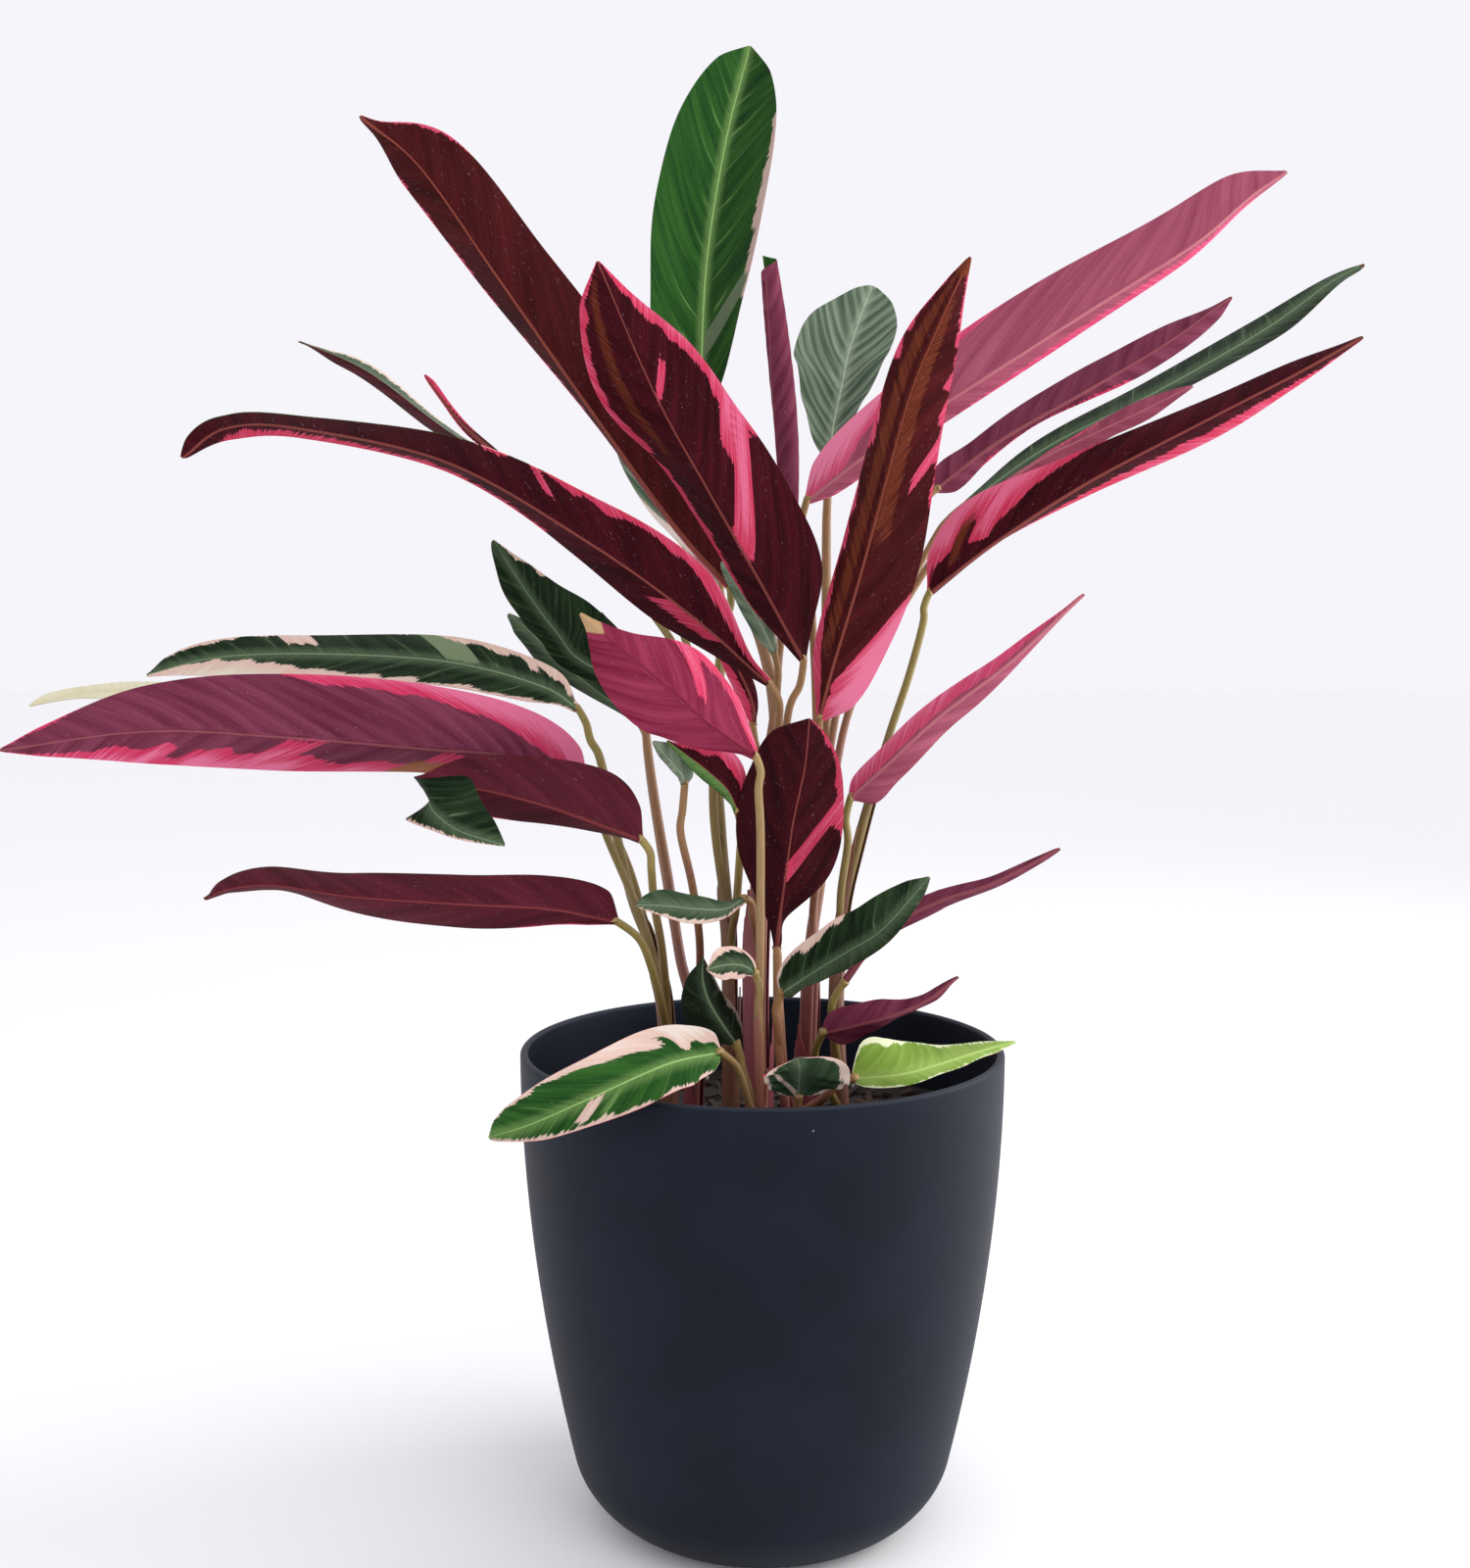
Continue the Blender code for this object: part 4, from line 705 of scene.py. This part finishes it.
def spline(points, share):
    """A point on the smooth line through all the given points, share running from 0 to 1."""
    spans = len(points) - 1
    place = min(max(share, 0.0), 1.0) * spans
    index = min(int(place), spans - 1)
    start = points[index]
    end = points[index + 1]
    before = points[index - 1] if index > 0 else start * 2 - end
    after = points[index + 2] if index + 2 <= spans else end * 2 - start
    return hermite(place - index, start, end, (end - before) / 2, (after - start) / 2)


def direction(points, share):
    return (spline(points, share + 0.01) - spline(points, share - 0.01)).normalized()


def three_way(values, share):
    """A value between those at base, middle and tip."""
    base, middle, tip = values
    if share < 0.5:
        return base + (middle - base) * share * 2
    return middle + (tip - middle) * (share * 2 - 1)


def smooth_row(places, values, share):
    """A smooth curve through the values at the given places."""
    spans = len(places) - 1
    index = 0
    while index < spans - 1 and share > places[index + 1]:
        index += 1
    width = places[index + 1] - places[index]
    slopes = []
    for end in (index, index + 1):
        low = max(end - 1, 0)
        high = min(end + 1, spans)
        slopes.append((values[high] - values[low]) / (places[high] - places[low]) * width)
    return hermite((share - places[index]) / width, values[index], values[index + 1], *slopes)


def edge_reach(reaches, share):
    """How far an edge is from the rib, with a narrow base and a pointed tip."""
    values = (BASE_HALF_WIDTH, *reaches, TIP_HALF_WIDTH)
    least = TIP_HALF_WIDTH + (BASE_HALF_WIDTH - TIP_HALF_WIDTH) * (1 - share) ** 2
    return max(smooth_row(REACH_PLACES, values, share), least)


def blade_frame(leaf, share):
    """Rib point, growing direction, left-hand direction and front-facing direction."""
    ahead = direction(leaf["rib"], share)
    if "across" in leaf:
        across = Vector(leaf["across"])
        left_way = (across - ahead * across.dot(ahead)).normalized()
    else:
        left_way = ahead.cross(Vector((0, 1, 0))).normalized()
    return spline(leaf["rib"], share), ahead, left_way, ahead.cross(left_way)


def line_length(line):
    return sum((after - before).length for before, after in zip(line, line[1:]))


# Blades


def moved(point, *steps):
    """Points laid out from one point, each step being its lengths and their direction."""
    return np.array(point) + sum(np.outer(lengths, np.array(way)) for lengths, way in steps)


def open_row(leaf, share, across):
    """A row of points over a flat or folded blade and how far each is from the rib, in mm."""
    point, _, left_way, front_way = blade_frame(leaf, share)
    is_left = across > 0
    (left_reach, left_rise), (right_reach, right_rise) = leaf["left"], leaf["right"]
    reach = np.where(is_left, edge_reach(left_reach, share), edge_reach(right_reach, share))
    fullness = math.sqrt(max(4 * share * (1 - share), 0.0))
    rise = np.where(is_left, three_way(left_rise, share), three_way(right_rise, share))
    rise = rise * fullness * np.abs(across) ** CUP
    turn = TURN * WAVES * share
    wave = np.where(is_left, math.sin(turn + WAVE_SHIFT), math.sin(turn))
    ripple = leaf["wave"] * across * across * wave * fullness
    row = moved(point, (reach * across, left_way), (rise + ripple, front_way))
    return row, reach * np.abs(across)


def rolled_row(leaf, share, across):
    """The same for a leaf still rolled up: the blade winds round its rib."""
    point, ahead, left_way, front_way = blade_frame(leaf, share)
    turns = (across + 1) / 2 * ROLL_TURNS
    swell = math.sin(math.pi * (ROLL_FOOT + (ROLL_MOUTH - ROLL_FOOT) * share)) ** ROLL_SWELL
    radius = leaf["roll"] * (0.3 + 0.6 * swell) + ROLL_GAP * turns
    angle = TURN * turns + ROLL_START + ROLL_TWIST * share
    row = moved(point, (ROLL_SLANT * across * share ** 3, ahead),
                (radius * np.cos(angle), left_way), (radius * np.sin(angle), front_way))
    return row, np.abs(across) * radius * math.pi * ROLL_TURNS


def blade_cells(leaf):
    """The grid of points over a blade, with each one's share of the rib's length, place across (left
    edge 1, right edge -1), distance out from the rib, place along the rib where its vein starts, and
    the reach of the edge beside it, in mm."""
    rolled = "roll" in leaf
    places = [step / RIB_STEPS for step in range(RIB_STEPS + 1)]
    length = line_length([spline(leaf["rib"], place) for place in places])
    rows = max(int(length / ROW_STEP), LEAST_ROWS)
    columns = (ROLL_CELLS if rolled else BLADE_CELLS) + 1
    across_row = np.linspace(-1, 1, columns)
    make_row = rolled_row if rolled else open_row
    made_rows = [make_row(leaf, row / (rows - 1), across_row) for row in range(rows)]
    out = np.array([distance for _, distance in made_rows])
    share = np.repeat(np.linspace(0, 1, rows)[:, None], columns, axis=1)
    across = np.repeat(across_row[None, :], rows, axis=0)
    return SimpleNamespace(
        grid=np.array([row for row, _ in made_rows]), length=length, out=out, share=share,
        across=across, along=share * length - VEIN_LEAN * out - VEIN_BEND * out * out,
        reach=out / np.maximum(np.abs(across), LEAST_ACROSS))


def wandering(cells, pitch, shift, seed):
    """Slow noise from vein to vein, with its own run on each half of a blade."""
    curve = np.vectorize(lambda place: noise.noise(Vector((place / pitch, seed, 0))))
    return curve(cells.along + np.where(cells.across > 0, 0, shift))


def streak_depth(streak, cells):
    """How deep inside a streak along the veins each point is, in mm; minus outside it."""
    root, start, end, half_width = streak
    low, high = sorted((start, end))
    beside = half_width - np.abs(cells.along - root * cells.length)
    reach = np.maximum(cells.reach, 1.0)
    inner = ENDLESS if low <= -1 else (cells.across - low) * reach
    outer = ENDLESS if high >= 1 else (high - cells.across) * reach
    return np.minimum(beside, np.minimum(inner, outer) * STREAK_SLOPE)


def band_depth(band, cells):
    """How deep inside a band beside the rib each point is, in mm; minus outside it."""
    first, last, start, end = band
    sideways = np.minimum(cells.across - start, end - cells.across) * np.maximum(cells.reach, 1.0)
    lengthways = np.minimum(cells.share - first, last - cells.share) * cells.length * BAND_SLOPE
    return np.minimum(np.minimum(sideways, lengthways), BAND_DEPTH)


def edge_depth(edges, cells, teeth):
    """How deep inside a variegated margin each point is, in mm; minus outside it."""
    start = np.interp(cells.share, REACH_PLACES[1:-1], edges)
    teeth = teeth * np.minimum(cells.reach / TOOTH_REACH, 1)
    depth = (np.abs(cells.across) - start / 100) * cells.reach + teeth
    return np.where(start > EDGE_LIMIT, OUTSIDE, depth)


def paint_fields(leaf, cells, number):
    """How deep each point lies in the variegated, dried and sage parts of its blade, in mm."""
    teeth = wandering(cells, TOOTH_PITCH, 400, number * 9.7) * TOOTH_DEPTH
    flame, dried, sage = (np.full(cells.out.shape, OUTSIDE) for _ in range(3))
    for side, sign in (("left_edge", 1), ("right_edge", -1)):
        depth = edge_depth(leaf[side], cells, teeth)
        flame = np.where(cells.across * sign > 0, np.maximum(flame, depth), flame)
    for streak in leaf["flames"]:
        flame = np.maximum(flame, streak_depth(streak, cells) + teeth * 0.2)
    for streak in leaf["plain"]:
        flame = np.minimum(flame, -streak_depth(streak, cells))
    for streak in leaf["dried"]:
        dried = np.maximum(dried, streak_depth(streak, cells))
    for band in leaf["dried_bands"]:
        dried = np.maximum(dried, band_depth(band, cells))
    for streak in leaf["sage"]:
        sage = np.maximum(sage, streak_depth(streak, cells))
    return flame, dried, sage


def grid_faces(rows, columns):
    """Quads over the front and back of a grid, and round its edge."""
    faces = []
    shift = rows * columns

    def spot(row, column):
        return row * columns + column

    for row in range(rows - 1):
        for column in range(columns - 1):
            a, b = spot(row, column), spot(row + 1, column)
            c, d = spot(row + 1, column + 1), spot(row, column + 1)
            faces.append((a, b, c, d))
            faces.append((d + shift, c + shift, b + shift, a + shift))
    loop = [spot(row, 0) for row in range(rows)]
    loop += [spot(rows - 1, column) for column in range(1, columns)]
    loop += [spot(row, columns - 1) for row in range(rows - 2, -1, -1)]
    loop += [spot(0, column) for column in range(columns - 2, 0, -1)]
    for here, ahead in zip(loop, loop[1:] + loop[:1]):
        faces.append((here, here + shift, ahead + shift, ahead))
    return faces


def add_piece(name, points, faces, made_material, slot, *nodes):
    """A piece of the plant that rides on its one body and stands for the given nodes."""
    mesh = bpy.data.meshes.new(name)
    mesh.from_pydata([tuple(point) for point in points], [], faces)
    mesh.materials.append(made_material)
    mesh.shade_smooth()
    mesh.set_sharp_from_angle(angle=math.radians(60))
    made = bpy.data.objects.new(name, mesh)
    bpy.context.scene.collection.objects.link(made)
    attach(made, BODY)
    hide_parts(*nodes)
    return made


def store(made, name, *parts):
    """A vector on every point of a piece."""
    values = np.stack([np.ravel(part) for part in parts], axis=1)
    kept = made.data.attributes.new(name, "FLOAT_VECTOR", "POINT")
    kept.data.foreach_set("vector", values.astype(np.float32).ravel())


def blade_sides(cells, front_under, number):
    """Points over a blade's front and back: pleated along the veins, thinner to the edge, with the
    rib standing out on the underside and sunk in on the upper side."""
    share, across, out = cells.share, cells.across, cells.out
    normal = np.cross(np.gradient(cells.grid, axis=0), np.gradient(cells.grid, axis=1))
    normal /= np.maximum(np.linalg.norm(normal, axis=2, keepdims=True), 1e-9)
    fade = np.sqrt(np.clip(4 * share * (1 - share), 0, 1)) * (1 - np.abs(across) ** 4)
    folds = cells.along + wandering(cells, WANDER_PITCH, 300, number * 5.3) * PLEAT_WANDER
    pleat = np.cos(TURN * folds / PLEAT_PITCH) * PLEAT_HEIGHT * fade * (1 - np.exp(-out / 2.5))
    middle = cells.grid + normal * pleat[:, :, None]
    half = (EDGE_THICKNESS + (MIDDLE_THICKNESS - EDGE_THICKNESS) * (1 - across ** 2)) / 2
    rib = RIB_HEIGHT * (1 - 0.75 * share) * np.exp(-(out / RIB_SPREAD) ** 2)
    front_rise = half + np.where(front_under, rib, -0.3 * rib)
    back_drop = half + np.where(front_under, -0.3 * rib, rib)
    front = middle + normal * front_rise[:, :, None]
    back = middle - normal * back_drop[:, :, None]
    return np.concatenate([front.reshape(-1, 3), back.reshape(-1, 3)]) * MM


def build_blade(leaf, number):
    cells = blade_cells(leaf)
    is_left = cells.across > 0
    left_under = leaf.get("front_left", leaf["front"]) == "under"
    front_under = np.where(is_left, left_under, leaf["front"] == "under")
    points = blade_sides(cells, front_under, number)
    material = blade_material("leaf_" + str(number), UNDERSIDES[leaf["under"]],
                              UPPERSIDES[leaf["upper"]], number)
    blade = add_piece("blade_" + leaf["name"], points, grid_faces(*cells.out.shape), material,
                      leaf["slot"], "leaf_" + leaf["name"])
    # Painted shade over each half, fading in from the rib
    dim = np.where(is_left, leaf["dim_left"], leaf["dim_right"])
    shade = dim * np.clip(np.abs(cells.across) * 6, 0, 1)
    fields = [cells.along, cells.out, np.sign(cells.across) * 3,
              *paint_fields(leaf, cells, number), cells.share, shade]
    twice = [np.tile(field.ravel(), 2) for field in fields]
    store(blade, "vein", *twice[:3])
    store(blade, "paint", *twice[3:6])
    underside = np.concatenate([front_under.ravel(), ~front_under.ravel()])
    store(blade, "place", *twice[6:], underside)


# Stalks


def stem_frames(line, steps):
    """Centres, side directions and up directions along a smooth line, turning as little as they can."""
    frames = []
    side_way = direction(line, 0.0).orthogonal()
    for step in range(steps + 1):
        ahead = direction(line, step / steps)
        side_way = (side_way - ahead * side_way.dot(ahead)).normalized()
        frames.append((spline(line, step / steps), side_way, ahead.cross(side_way)))
    return frames


def ring_faces(start, rings, sides):
    """Quads between rings of points that follow each other from start."""
    faces = []
    for ring in range(start, start + (rings - 1) * sides, sides):
        for side in range(sides):
            low = ring + side
            beside = ring + (side + 1) % sides
            faces.append((low, beside, beside + sides, low + sides))
    return faces


def around(side_way, up_way, angle):
    return side_way * math.cos(angle) + up_way * math.sin(angle)


class Stems:
    """Points, faces and a note on each point (height share, knee, sheath) of one shoot's stems."""

    def __init__(self):
        self.points = []
        self.faces = []
        self.notes = []

    def add_tube(self, line, low_radius, high_radius, with_knee):
        length = line_length(line)
        steps = max(int(length / STALK_STEP), LEAST_STEPS)
        start = len(self.points)
        for step, (centre, side_way, up_way) in enumerate(stem_frames(line, steps)):
            share = step / steps
            from_knee = (1 - share) * length - KNEE_LENGTH / 2
            knee = math.exp(-(from_knee / (KNEE_LENGTH / 2)) ** 4) if with_knee else 0.0
            radius = low_radius + (high_radius - low_radius) * share
            radius *= 1 + (KNEE_SWELL - 1) * knee
            if step in (0, steps):
                radius *= END_SHARE
            for side in range(STALK_SIDES):
                way = around(side_way, up_way, TURN * side / STALK_SIDES)
                self.points.append(centre + way * radius)
                self.notes.append((share, knee, 0.0))
        last = start + steps * STALK_SIDES
        self.faces += ring_faces(start, steps + 1, STALK_SIDES)
        self.faces.append(tuple(reversed(range(start, start + STALK_SIDES))))
        self.faces.append(tuple(range(last, last + STALK_SIDES)))

    def add_sheath(self, line, radius, facing, top_share):
        """A pointed sheath that clasps the stem from the soil up to top_share of the line."""
        columns = SHEATH_CELLS + 1
        frames = stem_frames(line, SHEATH_ROWS)
        grid = []
        for row in range(SHEATH_ROWS + 1):
            share = row / SHEATH_ROWS
            centre, side_way, up_way = frames[int(row * top_share)]
            narrow = max(1 - share ** 3, 0.06)
            flare = radius * (1.12 + 0.25 * share ** 4)
            for column in range(columns):
                angle = facing + (column / SHEATH_CELLS - 0.5) * SHEATH_ARC * narrow
                grid.append((centre, around(side_way, up_way, angle), flare, share))
        start = len(self.points)
        for lift in (SHEATH_THICKNESS, 0.0):
            for centre, way, flare, share in grid:
                self.points.append(centre + way * (flare + lift))
                self.notes.append((share, 0.0, 1.0))
        for face in grid_faces(SHEATH_ROWS + 1, columns):
            self.faces.append(tuple(start + index for index in face))


def rooted(line):
    """A stem's line, begun inside the soil."""
    return [Vector((line[0].x, line[0].y, SOIL_TOP / MM - STALK_DEPTH))] + line


def full_line(leaf, trunk, radius, number):
    """A stalk's line from the soil up to its blade: first beside its shoot's other stalks."""
    rib = leaf["rib"]
    start_way = (spline(rib, 0.01) - spline(rib, 0.0)).normalized()
    own = [point for point in reversed(leaf["stalk"][:-1]) if (point - rib[0]).length > NECK_LENGTH]
    own = [leaf["stalk"][-1]] + own
    angle = number * GOLDEN_ANGLE
    spread = radius * BUNDLE_SPREAD if number > 0 else 0.0
    beside = Vector((math.cos(angle), math.sin(angle), 0)) * spread
    lower = rooted([point + beside for point in trunk])
    line = [point for point in lower if point.z < own[0].z - TRUNK_GAP] + own
    bend = (line[-1] - line[-2]).normalized() - start_way
    neck = (line[-1] + rib[0]) / 2 + bend * (rib[0] - line[-1]).length / 8
    return line + [neck, rib[0], rib[0] + start_way * NECK_JOIN]


def build_stalks(name, tint, radius, line):
    slot, *colours = STALK_TINTS[tint]
    trunk = vectors(line)
    stems = Stems()
    own_leaves = [leaf for leaf in LEAVES if leaf["shoot"] == name]
    for number, leaf in enumerate(own_leaves):
        low_radius = STALK_RADIUS * LOW_SWELL
        if number == 0:
            low_radius = max(low_radius, radius * MAIN_SHARE)
        stems.add_tube(full_line(leaf, trunk, radius, number), low_radius, STALK_RADIUS, True)
    for number, (facing, top_share) in enumerate(SHEATHS):
        stems.add_sheath(rooted(trunk), radius * (1 + 0.1 * number), facing, top_share)
    if name == "front_right":
        stems.add_tube(vectors(CUT_STALK), CUT_STALK_RADIUS, CUT_STALK_RADIUS, False)
    material = stalk_material("stalk_shoot_" + name, *colours)
    points = [point * MM for point in stems.points]
    stalks = add_piece("stalks_" + name, points, stems.faces, material, slot, "shoot_" + name)
    store(stalks, "stem", *np.array(stems.notes).T)


# Pot and soil


def turned(outline, sides):
    """Points and faces of a round form from an outline that starts and ends on the axis."""
    points = [Vector((0, 0, outline[0][1])), Vector((0, 0, outline[-1][1]))]
    rings = outline[1:-1]
    for radius, height in rings:
        for side in range(sides):
            angle = TURN * side / sides
            points.append(Vector((radius * math.cos(angle), radius * math.sin(angle), height)))
    faces = ring_faces(2, len(rings), sides)
    last = len(points) - sides
    for side in range(sides):
        beside = (side + 1) % sides
        faces.append((0, 2 + beside, 2 + side))
        faces.append((1, last + side, last + beside))
    return points, faces


def body_radius(height):
    """The pot's outer radius above its rounded foot."""
    share = (height - WAIST_HEIGHT) / (POT_HEIGHT - LIP_ROUND - WAIST_HEIGHT)
    return RIM_RADIUS - (RIM_RADIUS - WAIST_RADIUS) * (1 - share) ** BODY_CURVE


def foot_curve(steps, inset):
    """The rounded foot as a curve from the flat underside up to the wall, moved in by inset."""
    corners = [(FOOT_RADIUS, 0.0), (FOOT_RADIUS + FOOT_SPREAD, 0.0),
               (WAIST_RADIUS - HEEL_INSET, HEEL_HEIGHT), (WAIST_RADIUS, WAIST_HEIGHT)]
    curve = []
    for step in range(steps + 1):
        up = step / steps
        weights = ((1 - up) ** 3, 3 * up * (1 - up) ** 2, 3 * up ** 2 * (1 - up), up ** 3)
        radius = sum(weight * corner[0] for weight, corner in zip(weights, corners))
        height = sum(weight * corner[1] for weight, corner in zip(weights, corners))
        curve.append((radius - inset * (0.6 + 0.4 * up), height + inset * (1 - up)))
    return curve


def wall_heights(top, steps):
    """Even heights up the wall, above the rounded foot and below top."""
    return [WAIST_HEIGHT + (top - WAIST_HEIGHT) * step / (steps + 1) for step in range(1, steps + 1)]


def build_planter():
    lip_height = POT_HEIGHT - LIP_ROUND
    heights = wall_heights(lip_height, WALL_STEPS)
    outline = [(0.0, 0.0)]
    outline += foot_curve(FOOT_STEPS, 0.0)
    outline += [(body_radius(height), height) for height in heights]
    for turn in range(0, 181, LIP_DEGREES):
        angle = math.radians(turn)
        outline.append((RIM_RADIUS - LIP_ROUND + LIP_ROUND * math.cos(angle),
                        lip_height + LIP_ROUND * math.sin(angle)))
    outline += [(body_radius(height) - WALL, height) for height in reversed(heights)]
    outline += reversed(foot_curve(10, FLOOR))
    outline.append((0.0, FLOOR))
    points, faces = turned(outline, POT_SIDES)
    add_piece("planter", points, faces, pot_material(), "pot", "pot")


def build_soil():
    """The filling, lumpy on top, with chips of bark and a few white grains strewn over it."""
    heights = [height for height in wall_heights(POT_HEIGHT - LIP_ROUND, 14) if height < SOIL_TOP]
    edge = body_radius(SOIL_TOP) - WALL - 2 * SOIL_GAP
    outline = [(0.0, FLOOR + SOIL_GAP)]
    outline += [(radius - SOIL_GAP, height + SOIL_GAP) for radius, height in foot_curve(8, FLOOR)]
    outline += [(body_radius(height) - WALL - SOIL_GAP, height) for height in heights]
    outline += [(edge * ring / SOIL_RINGS, SOIL_TOP) for ring in range(SOIL_RINGS, -1, -1)]
    points, faces = turned(outline, SOIL_SIDES)
    for point in points:
        if point.z > SOIL_TOP - MM:
            point.z += SOIL_LUMP * (noise.noise(point * 60) + 0.6 * noise.noise(point * 190))
    draw = random.Random(5)
    notes = [(0.0, 0.0, 0.0)] * len(points)
    for chip in range(CHIPS):
        angle = draw.uniform(0, TURN)
        away = (edge - 4 * MM) * math.sqrt(draw.random())
        centre = Vector((away * math.cos(angle), away * math.sin(angle), SOIL_TOP + CHIP_LIFT))
        grain = chip % GRAIN_EVERY == 0
        length = draw.uniform(*(GRAIN_LENGTHS if grain else CHIP_LENGTHS)) * MM
        start = len(points)
        points += chip_points(centre, length, grain, draw)
        notes += [(1.0, float(grain), draw.random())] * 8
        faces += [tuple(start + corner for corner in face) for face in CHIP_FACES]
    soil = add_piece("soil_surface", points, faces, soil_material(), "soil", "soil")
    store(soil, "crumb", *np.array(notes).T)


def chip_points(centre, length, grain, draw):
    """Eight uneven corners of a flat chip, or of a small round grain."""
    turn = draw.uniform(0, math.pi)
    tip = draw.uniform(-0.5, 0.5)
    sizes = (length, length, length) if grain else (length, length * 0.55, length * 0.25)
    corners = []
    for z in (-0.5, 0.5):
        for x, y in CHIP_CORNERS:
            spot = Vector((x * sizes[0], y * sizes[1], z * sizes[2])) * draw.uniform(0.7, 1.1)
            turned_x = spot.x * math.cos(turn) - spot.y * math.sin(turn)
            turned_y = spot.x * math.sin(turn) + spot.y * math.cos(turn)
            corners.append(centre + Vector((turned_x, turned_y, spot.z + spot.x * tip)))
    return corners


# Floor, lights and camera


def place_object(name, data, place):
    made = bpy.data.objects.new(name, data)
    made.location = place
    bpy.context.scene.collection.objects.link(made)
    return made


def build_floor():
    mesh = bpy.data.meshes.new("floor")
    corners = [(-FLOOR_HALF, -FLOOR_HALF, 0), (FLOOR_HALF, -FLOOR_HALF, 0),
               (FLOOR_HALF, FLOOR_HALF, 0), (-FLOOR_HALF, FLOOR_HALF, 0)]
    mesh.from_pydata(corners, [], [(0, 1, 2, 3)])
    paint = Shader("pale_floor")
    paint.surface.inputs["Base Color"].default_value = FLOOR_COLOUR
    paint.surface.inputs["Roughness"].default_value = 0.9
    mesh.materials.append(paint.material)
    floor = place_object("floor", mesh, (0, 0, 0))


def add_light(name, place, size, power):
    """A soft square light that faces the plant's middle."""
    data = bpy.data.lights.new(name, "AREA")
    data.shape = "SQUARE"
    data.size = size
    data.energy = power
    made = place_object(name, data, place)
    toward = Vector(LIT_PLACE) - Vector(place)
    made.rotation_euler = toward.to_track_quat("-Z", "Y").to_euler()


def add_world():
    world = bpy.data.worlds.new("studio")
    world.use_nodes = True
    sky = world.node_tree.nodes["Background"]
    sky.inputs["Color"].default_value = SKY_COLOUR
    sky.inputs["Strength"].default_value = SKY_STRENGTH
    bpy.context.scene.world = world


def add_camera():
    data = bpy.data.cameras.new("camera")
    data.lens = CAMERA_LENS
    data.sensor_width = 36.0
    data.clip_end = 200.0
    camera = place_object("camera", data, CAMERA_PLACE)
    camera.rotation_euler = (math.radians(CAMERA_TILT), 0, 0)
    bpy.context.scene.camera = camera


build_planter()
build_soil()
for shoot_name, (tint_name, stem_radius, stem_line) in SHOOTS.items():
    build_stalks(shoot_name, tint_name, stem_radius, stem_line)
for leaf_number, leaf_parts in enumerate(LEAVES):
    build_blade(leaf_parts, leaf_number)
build_floor()
for light_parts in LIGHTS:
    add_light(*light_parts)
add_world()
add_camera()
bpy.context.scene.view_settings.view_transform = "Standard"
